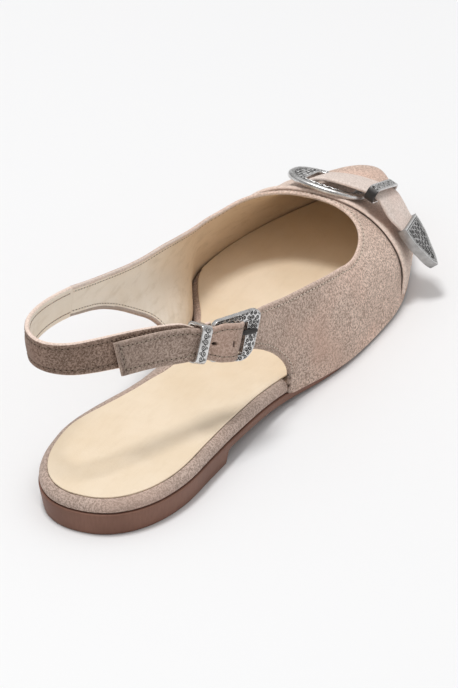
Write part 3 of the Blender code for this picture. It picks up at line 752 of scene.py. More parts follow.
def leather(name, base, pale, deep, roughness, crease):
    """Smooth lining leather: faint clouds, pores, and creases as strong as asked, with painted shade in the
    creases and deep in the toe.
    """
    look = Look(name, Roughness=roughness, Specular_IOR_Level=0.35)
    cloud = look.noise(22.0, 4.0, 0.55)
    pores = look.add("ShaderNodeTexVoronoi", {"Vector": look.place, "Scale": 1.0 / (0.75 * MM)})
    pores = pores.outputs["Distance"]
    folds = look.noise(2.4, 3.0, 0.6, look.stretched((1.0, 0.22, 0.7)))
    colour = look.mix(look.ramp(cloud, 0.35, 0.65), base, pale)
    # Painted shade in the hollows of the creases.
    colour = look.mix(look.ramp(folds, 0.5, 0.3, 0.0, crease), colour, deep)
    colour = look.mix(look.ramp(pores, 0.25, 0.0, 0.0, 0.22), colour, deep)
    # Painted shade deeper inside the toe.
    colour = look.mix(look.mark("deep"), colour, (0.85, 0.74, 0.62, 1.0), "MULTIPLY")
    height = look.math("MULTIPLY", folds, 2.0 * crease)
    height = look.math("ADD", look.math("MULTIPLY", pores, 0.35), height)
    return look.set(Base_Color=colour, Normal=look.bump(height, 0.35, 0.3))


def rubber():
    """Brown moulded rubber, faintly brushed."""
    look = Look("brown_rubber_look", Roughness=0.55, Specular_IOR_Level=0.25)
    cloud = look.noise(18.0, 3.0, 0.5)
    brushed = look.noise(0.9, 3.0, 0.6, look.stretched((1.0, 1.0, 0.12)))
    colour = look.mix(look.ramp(cloud, 0.35, 0.65), rgb(122, 88, 74), rgb(134, 98, 83))
    colour = look.mix(look.ramp(brushed, 0.4, 0.65, 0.0, 0.3), colour, rgb(112, 80, 67))
    return look.set(Base_Color=colour, Normal=look.bump(brushed, 0.08, 0.1))


def thread(name, base, shade):
    """Twisted thread."""
    look = Look(name, Roughness=0.7, Specular_IOR_Level=0.3)
    twist = look.noise(0.35, 1.0, 0.5)
    colour = look.mix(look.ramp(twist, 0.35, 0.65), shade, base)
    colour = look.mix(look.mark("shade"), colour, (0.5, 0.47, 0.44, 1.0), "MULTIPLY")
    return look.set(Base_Color=colour, Normal=look.bump(twist, 0.4, 0.15))


def silver(name, roughness):
    """Antique silver: bright raised metal, dark patina in the ground of the engraving, and painted dark
    reflections where marked.
    """
    look = Look(name, Metallic=1.0)
    tarnish = look.noise(3.0, 4.0, 0.6)
    scratch = look.noise(0.5, 3.0, 0.6)
    bright = look.mix(look.ramp(tarnish, 0.35, 0.7), rgb(226, 225, 224), rgb(186, 184, 182))
    ground = look.ramp(look.mark("patina_and_painted_reflection"), 0.15, 0.75)
    colour = look.mix(ground, bright, rgb(46, 43, 42))
    rough = look.math("ADD", look.ramp(scratch, 0.3, 0.7, roughness, roughness + 0.14),
                      look.math("MULTIPLY", ground, 0.3))
    return look.set(Base_Color=colour, Roughness=rough, Normal=look.bump(scratch, 0.08, 0.08))


SUEDE = suede("taupe_suede_look", rgb(217, 192, 176), 1.0, 0.9)
STRAP_SUEDE = suede("strap_suede_look", rgb(144, 122, 108), 1.1, 1.1)
RAND_SUEDE = suede("rand_suede_look", rgb(176, 155, 142), 2.0, 1.15)
BAND_SUEDE = suede("band_suede_look", rgb(232, 211, 197), 0.9, 0.5)
BELT_SUEDE = suede("belt_suede_look", rgb(228, 212, 202), 0.8, 0.4)
LINING = leather("lining_leather_look", rgb(243, 233, 219), rgb(249, 241, 230), rgb(200, 184, 160),
                 roughness=0.55, crease=0.3)
CREAM_LEATHER = leather("cream_leather_look", rgb(234, 214, 186), rgb(240, 222, 197), rgb(208, 184, 150),
                        roughness=0.5, crease=0.1)
RUBBER = rubber()
THREAD = thread("pale_thread_look", rgb(236, 224, 210), rgb(196, 178, 160))
STRAP_THREAD = thread("strap_thread_look", rgb(206, 186, 168), rgb(160, 136, 118))
# Dark tubes at the needle holes: painted shade.
NEEDLE_HOLE_SHADE = thread("needle_hole_shade_look", rgb(70, 52, 42), rgb(48, 34, 26))
FRAME_METAL = silver("engraved_silver_look", 0.2)
PLAIN_METAL = silver("plain_silver_look", 0.16)

# Sole, rand and insole

# The heel's breast, a little ahead of the solid's.
BREAST = HEEL_BREAST + 1.6


def heel_block(s):
    """Share of the heel block under the shank, 1 in the heel and 0 past the breast."""
    return np.interp(s, (BREAST, BREAST + 0.8, BREAST + 2.6), (1.0, 0.18, 0.0))


# Stations of the sole's outline, close together at the breast and where the wings come down.
BREAST_STATIONS = BREAST + np.array((-0.5, -0.1, 0.1, 0.4, 0.8, 1.4, 2.0, 2.6))
FOOT_STATIONS = np.arange(111.2, 121.0, 0.4)
EVEN_STATIONS = np.arange(HEEL_ROUND + 1.2, BALL, 1.2)
MIDDLE_STATIONS = np.unique(np.concatenate((EVEN_STATIONS, BREAST_STATIONS, FOOT_STATIONS)).round(2))


def outline(side, inset):
    """Plan points of one side of the sole from heel to toe, drawn in by an inset of (s, side)."""
    points = []
    heel_inset, toe_inset = inset(0.0, side), inset(SOLE_LENGTH, side)
    for turn in np.linspace(0.0, math.pi / 2, 40):
        share = max(0.0, math.cos(turn)) ** (2.0 / HEEL_POWER)
        width = (WAIST[side](HEEL_ROUND) - heel_inset) * math.sin(turn) ** (2.0 / HEEL_POWER)
        points.append((side * width, HEEL_ROUND - (HEEL_ROUND - heel_inset) * share))
    for s in MIDDLE_STATIONS:
        points.append((side * half_width(s, side, inset(s, side)), s))
    tip = SOLE_LENGTH - TIP_DRAW * toe_inset
    for share in np.linspace(1.0, 0.0, 46):
        s = tip - (tip - BALL) * share ** 2
        points.append((side * half_width(s, side, toe_inset), s))
    return np.array(points)


def sole_body(profile):
    """Closed body with the sole's outline, skinned over rings of (inset, height)."""
    rings = []
    for inset, height in profile:
        right = [(x, s, height(s, LATERAL)) for x, s in outline(LATERAL, inset)]
        left = [(x, s, height(s, MEDIAL)) for x, s in outline(MEDIAL, inset)]
        rings.append(np.array(right + left[-2:0:-1]))
    grid = np.stack(rings, axis=1)
    rows, columns = grid.shape[:2]
    faces = grid_faces(rows, columns, round_columns=False)
    for j in (0, columns - 1):
        for i in range(rows // 2):
            corners = dict.fromkeys((i, i + 1, rows - i - 1, (rows - i) % rows))
            faces.append([c * columns + j for c in corners])
    points = grid.reshape(-1, 3)
    return points, faced_out(points, faces)


# Station where each wing of the upper comes down to the sole.
WING_FOOT = {LATERAL: 111.9, MEDIAL: 118.0}

# How far the foot of the lateral wing lies behind the solid's.
FOOT_BACK = 1.3


def overhang(s, side):
    """How far the upper hangs down over the edge of the sole."""
    start = WING_FOOT[side] - 3.0
    share = 0.45 * smooth(start, start + 9.0, s) + 0.4 * smooth(start + 8.0, start + 60.0, s)
    return OUTSOLE_THICK * share


# Rings of the outsole, from its top by the wall to its underside: how far in from the wall's line, the
# share of the way down the wall, and the height over that line.
SOLE_RINGS = table(
    "inset  down  lift",
    (4.0,   0.0,  0.5),
    (0.6,   0.0,  0.5),
    (0.22,  0.0,  0.45),
    (0.05,  0.0,  0.3),
    (0.0,   0.0,  0.0),
    (0.0,   0.2,  0.0),
    (0.0,   0.4,  0.0),
    (0.0,   0.6,  0.0),
    (0.0,   0.8,  0.0),
    (0.0,   1.0,  0.0),
    (0.12,  1.0,  -0.35),
    (0.4,   1.0,  -0.54),
    (0.8,   1.0,  -0.6),
    (4.0,   1.0,  -0.6),
)
SOLE_TOP_ROUND = 0.5
SOLE_LOW_ROUND = 0.6


def make_outsole():
    """Moulded sole and low heel in one, its wall drawn in towards the floor and under the upper."""
    def top(s):
        return underside(s) + OUTSOLE_THICK

    def low(s):
        return underside(s) * (1.0 - heel_block(s))

    def inset(s, side, past, down):
        hidden = 0.9 * smooth(WING_FOOT[side] + 14.0, WING_FOOT[side] + 50.0, s)
        return past + hidden + down * EDGE_TAPER * (top(s) - low(s)) / (SHANK_RISE + OUTSOLE_THICK)

    def height(s, side, down, lift):
        wall = top(s) - low(s) - SOLE_TOP_ROUND - SOLE_LOW_ROUND
        return top(s) - SOLE_TOP_ROUND - down * wall + lift

    profile = []
    for past, down, lift in zip(*SOLE_RINGS.values()):
        profile.append((partial(inset, past=past, down=down), partial(height, down=down, lift=lift)))
    points, faces = sole_body(profile)
    piece("outsole_rubber", points, faces, [RUBBER], "outsole")


# Section of the rand: inset past the board's edge and height over the board's underside.
RAND = table(
    "inset  height",
    (0.9,   0.0),
    (0.35,  0.25),
    (0.08,  0.8),
    (0.0,   1.5),
    (0.08,  2.2),
    (0.32,  2.9),
    (0.75,  3.55),
    (1.35,  4.15),
    (2.0,   4.6),
    (2.55,  4.8),
    (2.95,  4.75),
    (3.15,  4.5),
    (3.25,  4.1),
    (6.0,   4.1),
)

# How much farther in the rand reaches along the arch.
ARCH_REACH = 2.2


def arch(s, side):
    """Share of the broad medial rand along the arch, 0 at the heel's back and under the wing."""
    share = smooth(HEEL_ROUND - 4.0, HEEL_ROUND + 26.0, s) + 0.7 * smooth(86.0, 104.0, s)
    share = share - smooth(106.0, 122.0, s)
    return share * (1.0 - smooth(165.0, 190.0, s)) * (side == MEDIAL)


def make_rand():
    """Suede pulled round the edge of the footbed, rolling down to the sole."""
    def inset(s, side, past):
        foot = WING_FOOT[side]
        tuck = (WALL + 0.5 if side == LATERAL else 1.5) * smooth(foot + 1.1, foot + 2.3, s)
        return 0.3 + tuck + past * (1.0 + arch(s, side) * ARCH_REACH / 3.2)

    def height(s, side, rise):
        start = WING_FOOT[side] + (1.8 if side == LATERAL else 60.0)
        sunk = smooth(start, start + 2.2, s)
        board = underside(s) + OUTSOLE_THICK + GAP
        return board + 0.08 * rise * arch(s, side) + min(rise, rise + (3.6 - rise) * sunk)

    profile = [(lambda s, side: 6.0, partial(height, rise=0.0))]
    for past, rise in zip(*RAND.values()):
        profile.append((partial(inset, past=past), partial(height, rise=rise)))
    points, faces = sole_body(profile)
    shown = smooth(0.1, 0.9, points[:, 2] - underside(points[:, 1]) - OUTSOLE_THICK - GAP)
    dents = 0.09 * ruffle(points, 7.0, 3) * shown
    points = points + vertex_normals(points, faces) * dents[:, None]
    piece("rand_suede", points, faces, [RAND_SUEDE], "footbed")


def vertex_normals(points, faces):
    """Unit normal at each point of a closed mesh."""
    normals = np.zeros_like(points)
    for face in faces:
        a, b, c = points[face[0]], points[face[1]], points[face[2]]
        normals[list(face)] += np.cross(b - a, c - a)
    return unit(normals)


def make_insole():
    """Leather sock laid over the footbed."""
    top = OUTSOLE_THICK + BOARD_THICK + GAP + SOCK_THICK
    lines = []
    for side in (MEDIAL, LATERAL):
        plan = outline(side, lambda s, side: SOCK_INSET - 0.15 + ARCH_REACH * arch(s, side))
        lines.append(np.column_stack((plan, underside(plan[:, 1]) + top)))
    sheet = weld_sheet([(np.array([spread(np.array(ends)) for ends in zip(*lines)]), True)])
    points = sheet[0]
    edge = distance_to(points, [np.concatenate((lines[1], lines[0][::-1]))])
    dents = 0.10 * ruffle(points, 26.0, 1) + 0.03 * ruffle(points, 6.0, 2)
    out = -lip(edge, 0.42) + dents * smooth(0.5, 6.0, edge)
    inn = -SOCK_THICK + 0.5 * lip(edge, 0.42)
    points, faces, _, _ = shell(sheet, out, inn)
    piece("insole_leather", points, faces, [CREAM_LEATHER], "insole")


# Upper and straps

# Medial top line against the solid's: how much higher it lies at the wing, how far it flares out there,
# and how far in it lies by the throat.
MEDIAL_RISE = 2.0
MEDIAL_FLARE = 3.3
MEDIAL_TUCK = 1.4


def raised(s, angle, side):
    """Angle of the top line, lifted where the medial collar runs out into the wing."""
    rise = MEDIAL_RISE * bump_at(min(s, 140.0), 140.0, 22.0) * (1.0 - smooth(150.0, 182.0, s))
    if side == LATERAL or rise < 0.02:
        return angle
    return angle_at(s, last_point(s, angle, side)[2] + rise)


# Rows of the collar's round line, and the angle under which a row's lower edge counts as on the sole.
COLLAR_ROWS = 80
ON_SOLE = 0.003


def upper_rows(side):
    """Lower edge and top edge of each row of the upper, toe to wing end, with the throat's index."""
    rows = []
    toe = 58.0 * np.linspace(0.0, 1.0, 46)[1:] ** 1.7
    throat = SOLE_LENGTH - THROAT - 6.4 * np.linspace(1.0, 0.0, 18)[:-1] ** 2
    for back in np.concatenate((toe, throat)):
        rows.append((SOLE_LENGTH - back, 0.0, SOLE_LENGTH - back, math.pi / 2))
    first = len(rows)
    start_s, start_z = COLLAR_START[side]
    start_angle = angle_at(start_s, start_z)
    for turn in math.pi / 2 * np.linspace(0.0, 1.0, COLLAR_ROWS) ** 1.3:
        top_s = start_s + (THROAT - start_s) * math.cos(turn)
        top_angle = math.pi / 2 - (math.pi / 2 - start_angle) * math.sin(turn)
        low_s = THROAT - (THROAT - start_s) * turn / (math.pi / 2)
        rows.append((low_s, 0.0, top_s, raised(top_s, top_angle, side)))
    wing = WING[side]
    index = np.arange(len(wing["top_s"]))
    column = {name: spline(index, values) for name, values in wing.items()}
    for at in np.arange(0.1, index[-1] + 0.01, 0.1):
        top_s, top_z, low_s, low_z = (column[name](at) for name in wing)
        if side == LATERAL:
            low_s = low_s - FOOT_BACK * bump_at(at, 4.6, 1.0)
        low_angle = angle_at(low_s, max(0.0, low_z)) if at > 3.0 else 0.0
        folded = low_z > 0.3 and low_angle < ON_SOLE
        if not folded:
            rows.append((low_s, low_angle, top_s, raised(top_s, angle_at(top_s, top_z), side)))
    return rows, first


def eased(grid, middle, reach, rounds):
    """The same grid with its rows smoothed about one of them."""
    weight = bump_at(np.arange(len(grid)), middle, reach)[:, None, None]
    for _ in range(rounds):
        even = grid.copy()
        even[1:-1] = 0.25 * grid[:-2] + 0.5 * grid[1:-1] + 0.25 * grid[2:]
        grid = grid + (even - grid) * weight
    return grid


def upper_row(row, side):
    """Points of one row of the upper, from its lower edge or its hem over the sole to its top edge."""
    low_s, low_angle, top_s, top_angle = row
    line = [last_point(low_s + (top_s - low_s) * v, low_angle + (top_angle - low_angle) * v, side)
            for v in np.linspace(0.0, 1.0, 33)]
    hang = overhang(low_s, side) if low_angle < ON_SOLE else 0.0
    if hang > 0.05:
        hem = np.array((side * 0.5 * smooth(0.0, 1.0, hang), 0.0, -hang))
        line = [line[0] + hem * k for k in (1.0, 0.75, 0.5, 0.25)] + line
    return np.array(line)


def upper_grid(side):
    """Grid of one side of the upper, its free edges, and its line along the sole."""
    rows, first = upper_rows(side)
    lines = [upper_row(row, side) for row in rows]
    start = [low_angle > ON_SOLE for _, low_angle, _, _ in rows].index(True)
    if side == LATERAL:
        stops = np.concatenate((np.arange(2.8, 31.0, 0.4), np.arange(31.2, TAIL_TIP - 3.6, 0.7),
                                TAIL_TIP - EDGE_COLUMNS[10::-1]))
        lines.extend(tail_points(q) for q in stops)
    grid = np.array([spread(line) for line in lines])
    if side == LATERAL:
        grid = eased(grid, len(rows), 9.0, 60)
    else:
        grid = eased(grid, first + COLLAR_ROWS - 1, 12.0, 120)
        s, z = grid[..., 1], grid[..., 2]
        flare = MEDIAL_FLARE * bump_at(np.minimum(s, 136.0), 136.0, 20.0) * (1.0 - smooth(140.0, 176.0, s))
        tuck = MEDIAL_TUCK * bump_at(s, 178.0, 8.0)
        grid[..., 0] += tuck * smooth(18.0, 38.0, z) - flare * smooth(14.0, 36.0, z)
        shift = spread(strap_row(STRAP_LENGTH)) - grid[-1]
        away = np.linalg.norm(grid[:, 20] - grid[-1, 20], axis=1)
        grid = grid + (1.0 - smooth(0.0, 28.0, away))[:, None, None] * shift
    edges = {"top": grid[first:, -1], "low": grid[start - 1:, 0], "end": grid[-1]}
    return grid, edges, grid[:start, 0]


# Punched holes of the tail: distance along the strap, height, length and width.
HOLES = table(
    "q      up    length  width",
    (26.1,  0.0,  2.2,    1.0),
    (17.4,  -0.5, 0.9,    2.3),
    (11.2,  0.6,  3.4,    1.6),
)


def hole_share(points):
    """How deep each point lies in one of the tail's punched holes, 0 to 1."""
    share = np.zeros(len(points))
    for q, up_by, length, width in zip(*HOLES.values()):
        centre = tail_points(q)[4]
        _, along, _, up = strap_frame(q)
        away = points - (centre + up * up_by)
        span = np.hypot(away @ along / (length / 2), away @ up / (width / 2))
        span = np.where(np.linalg.norm(away, axis=1) < 6.0, span, 9.0)
        share = np.maximum(share, 1.0 - smooth(0.75, 1.25, span))
    return share


# Seams: their distance from the edge, the width of the groove that the thread lies in, and its depth in
# the lining.  Then the wall's thickness at its edges and at the sole, and the lip where two pieces join.
SEAM_INSET = 2.2
GROOVE_WIDTH = 0.42
LINING_GROOVE = 0.03
EDGE_WALL = 1.35
SOLE_WALL = 0.75
JOIN_LIP = 0.5


def make_upper():
    """Suede vamp with its wings and the lateral tail, lined with leather, and the seams along its edges."""
    lateral, lateral_edges, lateral_foot = upper_grid(LATERAL)
    medial, medial_edges, medial_foot = upper_grid(MEDIAL)
    toe = np.array((0.0, SOLE_LENGTH, feather(SOLE_LENGTH)))
    tip = np.tile(toe, (1, lateral.shape[1], 1))
    sheet = weld_sheet([(np.concatenate((tip, lateral)), False), (np.concatenate((tip, medial)), True)])
    points = sheet[0]
    lows = [lateral_edges["low"], medial_edges["low"]]
    tops = [lateral_edges["top"], medial_edges["top"]]
    edge = distance_to(points, tops + lows + [lateral_edges["end"]])
    foot = distance_to(points, [lateral_foot, medial_foot])
    corners = np.array([low[0] for low in lows])
    clear = smooth(4.0, 11.0, np.linalg.norm(points[:, None] - corners, axis=2).min(axis=1))
    groove = bump_at(edge, SEAM_INSET, GROOVE_WIDTH) * clear
    swell = bump_at(edge, 1.1, 0.6) * 0.10 * clear
    wall = EDGE_WALL + (WALL - EDGE_WALL) * smooth(3.0, 14.0, edge)
    wall = SOLE_WALL + (wall - SOLE_WALL) * smooth(2.0, 8.0, foot)
    rolled = lip(edge, EDGE_WALL / 2) * clear
    rolled = np.maximum(rolled, lip(distance_to(points, [medial_edges["end"]]), JOIN_LIP))
    nap = 0.10 * ruffle(points, 17.0, 4) + 0.05 * ruffle(points, 5.0, 5)
    calm = smooth(0.3, 5.0, edge) * smooth(0.0, 4.0, foot)
    # Share of each point in the punched holes: the wall sinks there and takes painted shade.
    hollow_shade = hole_share(points)
    out = swell + nap * calm - rolled - 0.2 * groove - 0.4 * lip(foot, 1.2) - 1.5 * hollow_shade
    inn = rolled - wall + LINING_GROOVE * groove - swell + lining_creases(points) * calm
    inn = np.minimum(inn, out - 0.4 * smooth(0.0, 0.5, edge))
    made, faces, kinds, marked = shell(sheet, out, inn)
    # The lining shows a pale turned edge, and plain suede along the lower edges.
    under = distance_to(points, lows)
    inside = np.where(kinds == INNER)[0]
    kinds[kinds == RIM] = OUTER
    kinds[inside[face_means(edge, sheet[2]) < 1.3]] = RIM
    kinds[inside[face_means(under, sheet[2]) < 0.35]] = OUTER
    # The suede darkens in steps towards the heel, its fade from station 178 back to 118 being painted
    # shade, with painted shade along the lower edges; the lining takes painted shade deeper towards the
    # toe.
    station = points[:, 1]
    shade = 1.0 - 0.28 * smooth(59.0, 66.0, station) - 0.32 * smooth(86.0, 104.0, station)
    shade = shade - 0.4 * smooth(118.0, 178.0, station)
    low_shade = 0.9 * (1.0 - smooth(1.2, 2.0, under))
    # Painted shade on a band along the tail's end, and in its punched holes.
    turned = distance_to(points, [lateral_edges["end"]])
    turned = smooth(0.3, 0.7, turned) * (1.0 - smooth(2.6, 3.0, turned))
    marks = {"edge": marked(edge, edge), "hollow_shade": marked(np.maximum(hollow_shade, 0.28 * turned), 0.0 * hollow_shade),
             "shade": marked(np.maximum(shade, low_shade), low_shade),
             "deep": marked(0.0 * station, smooth(112.0, 158.0, station))}
    piece("upper_suede", made, faces, [SUEDE, LINING, BELT_SUEDE], "upper", kinds, marks)
    lines = tops + [lateral_edges["end"][8:-8]] + [low[line_length(low) > 4.0] for low in lows]
    sew("upper_stitches", wall_surfaces(sheet, out, inn), lines, THREAD)


def lining_creases(points):
    """Fine slanting creases where the lining bends in towards the footbed."""
    slant = []
    for x, s, z in points:
        across, along = s * 0.75 - z * 0.66, s * 0.66 + z * 0.75
        slant.append(noise.noise(Vector((across / 1.5, along / 13.0, x / 14.0))))
    station, height = points[:, 1], points[:, 2] - underside(points[:, 1])
    where = smooth(52.0, 100.0, station) * (1.0 - smooth(150.0, 185.0, station))
    where = where * (0.35 + 0.65 * (1.0 - smooth(14.0, 40.0, height)))
    return 0.34 * np.array(slant) * where + 0.12 * ruffle(points, 12.0, 6)


def wall_surfaces(sheet, out, inn):
    """Search trees of a wall's middle, outer and inner faces."""
    points, normals, faces, _ = sheet
    outer = points + normals * out[:, None]
    inner = points + normals * inn[:, None]
    return [BVHTree.FromPolygons(face_points.tolist(), faces) for face_points in (points, outer, inner)]


# Stitches and the needle holes between them, in mm.
STITCH_PITCH = 2.15
STITCH_LENGTH = 1.5
STITCH_RADIUS = 0.24
STITCH_RISE = np.array((-0.22, 0.06, 0.12, 0.06, -0.22))
STITCH_TAPER = np.array((0.6, 1.0, 1.05, 1.0, 0.6))
HOLE_LENGTH = 0.9
HOLE_RADIUS = 0.3
HOLE_RISE = np.array((-0.16, -0.12, -0.16))
HOLE_TAPER = np.array((0.5, 1.0, 0.5))


def seam_line(walls, edge, inset, inner):
    """Line that keeps an inset from an edge on a wall's outer or inner face: place and normal."""
    middle, outside, inside = walls
    points = along_line(edge, np.arange(0.0, line_length(edge)[-1], 0.6))
    ahead = unit(np.gradient(points, axis=0))
    sides = []
    for hand in (-1.0, 1.0):
        aims = []
        for point, way in zip(points, ahead):
            normal = middle.find_nearest(Vector(point))[1]
            aims.append(Vector(point) + normal.cross(Vector(way)) * hand * inset)
        sides.append((sum(middle.find_nearest(aim)[3] for aim in aims), aims))
    face, sign, depth = (inside, -1.0, EDGE_WALL) if inner else (outside, 1.0, 0.0)
    line = []
    for aim in min(sides, key=lambda side: side[0])[1]:
        near, normal, _, _ = middle.find_nearest(aim)
        line.append((*face.find_nearest(near - normal * depth)[0], *(normal * sign)))
    return np.array(line)


def row_of_tubes(line, start, span, rise, radii):
    """Short tubes set at the stitch pitch along a line of places and normals."""
    made = []
    gone = line_length(line[:, :3])
    spans = np.linspace(-0.5, 0.5, len(rise)) * span
    for middle in np.arange(start, gone[-1] - 0.4 * STITCH_PITCH, STITCH_PITCH):
        at = sample(gone, line, middle + spans)
        made.append(tube(at[:, :3] + at[:, 3:] * rise[:, None], radii))
    return made


def sew(name, walls, lines, look):
    """Thread, and dark tubes at the needle holes as painted shade, on both faces of a wall along its edges.
    """
    threads, holes, shaded = [], [], []
    for edge in lines:
        for inner in (False, True):
            line = seam_line(walls, edge, SEAM_INSET, inner)
            row = row_of_tubes(line, STITCH_PITCH / 2, STITCH_LENGTH, STITCH_RISE - 0.12 * inner,
                               STITCH_RADIUS * STITCH_TAPER)
            threads.extend(row)
            shaded.extend([0.0 if inner else 1.0] * sum(len(part[0]) for part in row))
            holes.extend(row_of_tubes(line, STITCH_PITCH, HOLE_LENGTH, HOLE_RISE, HOLE_RADIUS * HOLE_TAPER))
    points, faces = merged(threads + holes)
    kinds = (np.arange(len(faces)) >= sum(len(part[1]) for part in threads)).astype(int)
    shaded = np.array(shaded + [0.0] * (len(points) - len(shaded)))
    shade = shaded * (1.0 - smooth(86.0, 104.0, points[:, 1]))
    piece(name, points, faces, [look, NEEDLE_HOLE_SHADE], kinds=kinds, marks={"shade": shade})


def make_heel_strap():
    """Sling strap round the heel, suede outside and leather inside, looped round the buckle's bar."""
    stops = np.concatenate((np.linspace(BAR_AT + 2.2, STRAP_LENGTH - 3.4, 150),
                            STRAP_LENGTH - EDGE_COLUMNS[10::-1]))
    grid = np.array([spread(strap_row(q)) for q in stops])
    sheet = weld_sheet([(grid, False)])
    points = sheet[0]
    edges = [grid[:, 0], grid[:, -1]]
    edge = distance_to(points, edges)
    groove = bump_at(edge, SEAM_INSET, GROOVE_WIDTH)
    rolled = np.maximum(lip(edge, STRAP_THICK / 2), lip(distance_to(points, [grid[-1]]), JOIN_LIP))
    nap = 0.08 * ruffle(points, 14.0, 8) + 0.05 * ruffle(points, 4.0, 9)
    calm = smooth(0.3, 3.0, edge)
    out = -rolled - 0.22 * groove + (0.3 * smooth(2.2, 6.0, edge) + nap) * calm
    inn = rolled - STRAP_THICK + LINING_GROOVE * groove + 0.10 * ruffle(points, 9.0, 10) * calm
    made, faces, kinds, marked = shell(sheet, out, inn)
    near_edge = face_means(edge, sheet[2])
    for kind, reach in ((INNER, 0.6), (OUTER, 0.3)):
        kinds[np.where(kinds == kind)[0][near_edge < reach]] = RIM
    loops = [loop_round_bar(low, high) for low, high in ((-0.27, -0.11), (0.12, 0.46))]
    all_points, all_faces = merged([(made, faces)] + loops)
    kinds = np.concatenate((kinds, np.full(len(all_faces) - len(faces), OUTER)))
    edge_mark = np.concatenate((marked(edge, edge), np.full(len(all_points) - len(made), 9.0)))
    piece("heel_strap_suede", all_points, all_faces, [STRAP_SUEDE, LINING, BAND_SUEDE], "heel_strap",
          kinds, {"edge": edge_mark})
    sew("heel_strap_stitches", wall_surfaces(sheet, out, inn), edges, STRAP_THREAD)


# Steps round the strap's folded end and round its section.
LOOP_STEPS = 48


def loop_round_bar(low, high):
    """Strap end folded round the bar beside the prong, from one height share to another."""
    _, along, up, out = buckle_axes()
    centre = strap_frame(BAR_AT)[0]
    section = superellipse(LOOP_STEPS, (high - low) / 2 * STRAP_WIDTH, (LOOP_RADIUS - LOOP_BORE) / 2, 5.0)
    section = section + ((low + high) / 2 * STRAP_WIDTH, (LOOP_RADIUS + LOOP_BORE) / 2)
    turns = np.linspace(0.0, 2.0 * math.pi, LOOP_STEPS, endpoint=False)
    points = np.array([centre + up * h + r * (along * math.cos(t) + out * math.sin(t))
                       for t in turns for h, r in section])
    return points, faced_out(points, grid_faces(LOOP_STEPS, LOOP_STEPS))


def superellipse(count, half_u, half_v, power):
    """Points of a rounded box, rounder with a lower power."""
    turns = np.linspace(0.0, 2.0 * math.pi, count, endpoint=False)
    ways = np.stack((np.cos(turns), np.sin(turns)), axis=1)
    return np.sign(ways) * np.abs(ways) ** (2.0 / power) * (half_u, half_v)


def make_vamp_band():
    """Band folded across the vamp, with a rolled edge on each side."""
    grids = []
    for side in (LATERAL, MEDIAL):
        rows = []
        for angle in np.linspace(0.02, math.pi / 2, 64):
            out = GAP + BAND_THICK * (0.5 + 0.5 * smooth(0.0, 0.25, angle))
            stations = np.linspace(BAND_REAR, BAND_REAR + BAND_WIDTH, 15)
            rows.append(spread(np.array([outward_point(s, angle, side, out) for s in stations])))
        rows[-1][:, 0] = 0.0
        grids.append(np.array(rows))
    sheet = weld_sheet([(grids[0], False), (grids[1], True)])
    points = sheet[0]
    rear = distance_to(points, [grid[:, 0] for grid in grids])
    edge = np.minimum(rear, distance_to(points, [grid[:, -1] for grid in grids]))
    roll = np.sqrt(np.clip(1.0 - ((edge - 1.5) / 1.5) ** 2, 0.0, 1.0))
    nap = 0.10 * ruffle(points, 9.0, 11) + 0.04 * ruffle(points, 3.5, 12)
    fall = lip(edge, 0.6 * BAND_THICK)
    out = 0.25 * roll - 0.3 * bump_at(edge, 3.2, 0.4) + nap * smooth(0.3, 3.0, edge) - fall
    inn = np.minimum(fall - BAND_THICK - GAP + 0.02, out - 0.04)
    made, faces, _, marked = shell(sheet, out, inn)
    # Painted shade in the crease by the rolled rear edge and in the crevice under the edges, most on the
    # lateral side.
    crevice = (1.0 - smooth(0.5, 0.9, edge)) * (0.3 + 0.6 * smooth(8.0, 24.0, points[:, 0]))
    marks = {"edge": marked(edge, edge) / 2.2, "hollow_shade": marked(0.4 * bump_at(rear, 2.7, 0.35), crevice)}
    piece("vamp_band_suede", made, faces, [BAND_SUEDE], "vamp_band", marks=marks)


# How much broader the belt is about its keeper than in its buckle and its tip.
BELT_SWELL = 3.0


def make_vamp_belt():
    """Belt that comes up through the vamp buckle and runs down into its pointed tip."""
    rows = []
    for q in np.linspace(0.0, BELT_LENGTH, 110):
        place, _, out, cross = belt_frame(q)
        swell = BELT_SWELL * smooth(7.0, 16.0, q) * (1.0 - smooth(BELT_LENGTH - 9.0, BELT_LENGTH - 3.0, q))
        half = (BELT_WIDTH + swell) / 2
        rows.append(spread(np.array([place + out * BELT_THICK / 2 + cross * v for v in (-half, half)])))
    grid = np.array(rows)
    sheet = weld_sheet([(grid, True)])
    points = sheet[0]
    edge = distance_to(points, [grid[:, 0], grid[:, -1]])
    nap = 0.08 * ruffle(points, 8.0, 13) + 0.04 * ruffle(points, 3.0, 14)
    fall = lip(edge, BELT_THICK / 2)
    out = (0.15 * smooth(1.0, 5.0, edge) + nap) * smooth(0.3, 3.0, edge) - fall
    made, faces, _, marked = shell(sheet, out, fall - BELT_THICK)
    marks = {"edge": marked(edge, edge)}
    piece("vamp_belt_suede", made, faces, [BELT_SUEDE], "vamp_belt", marks=marks)


# Metal

# Depth of the engraving, and width of its lines on plates and on keepers.
RELIEF = 0.34
LINE_WIDTH = 0.17
SCROLL_WIDTH = 0.14


def metal(name, node, points, faces, patina_and_painted_reflection, look=FRAME_METAL):
    """Cast piece that stands for a solid, with its patina, and its painted dark reflections, where its mark
    says so.
    """
    piece(name, points, faces, [look], node, marks={"patina_and_painted_reflection": patina_and_painted_reflection})


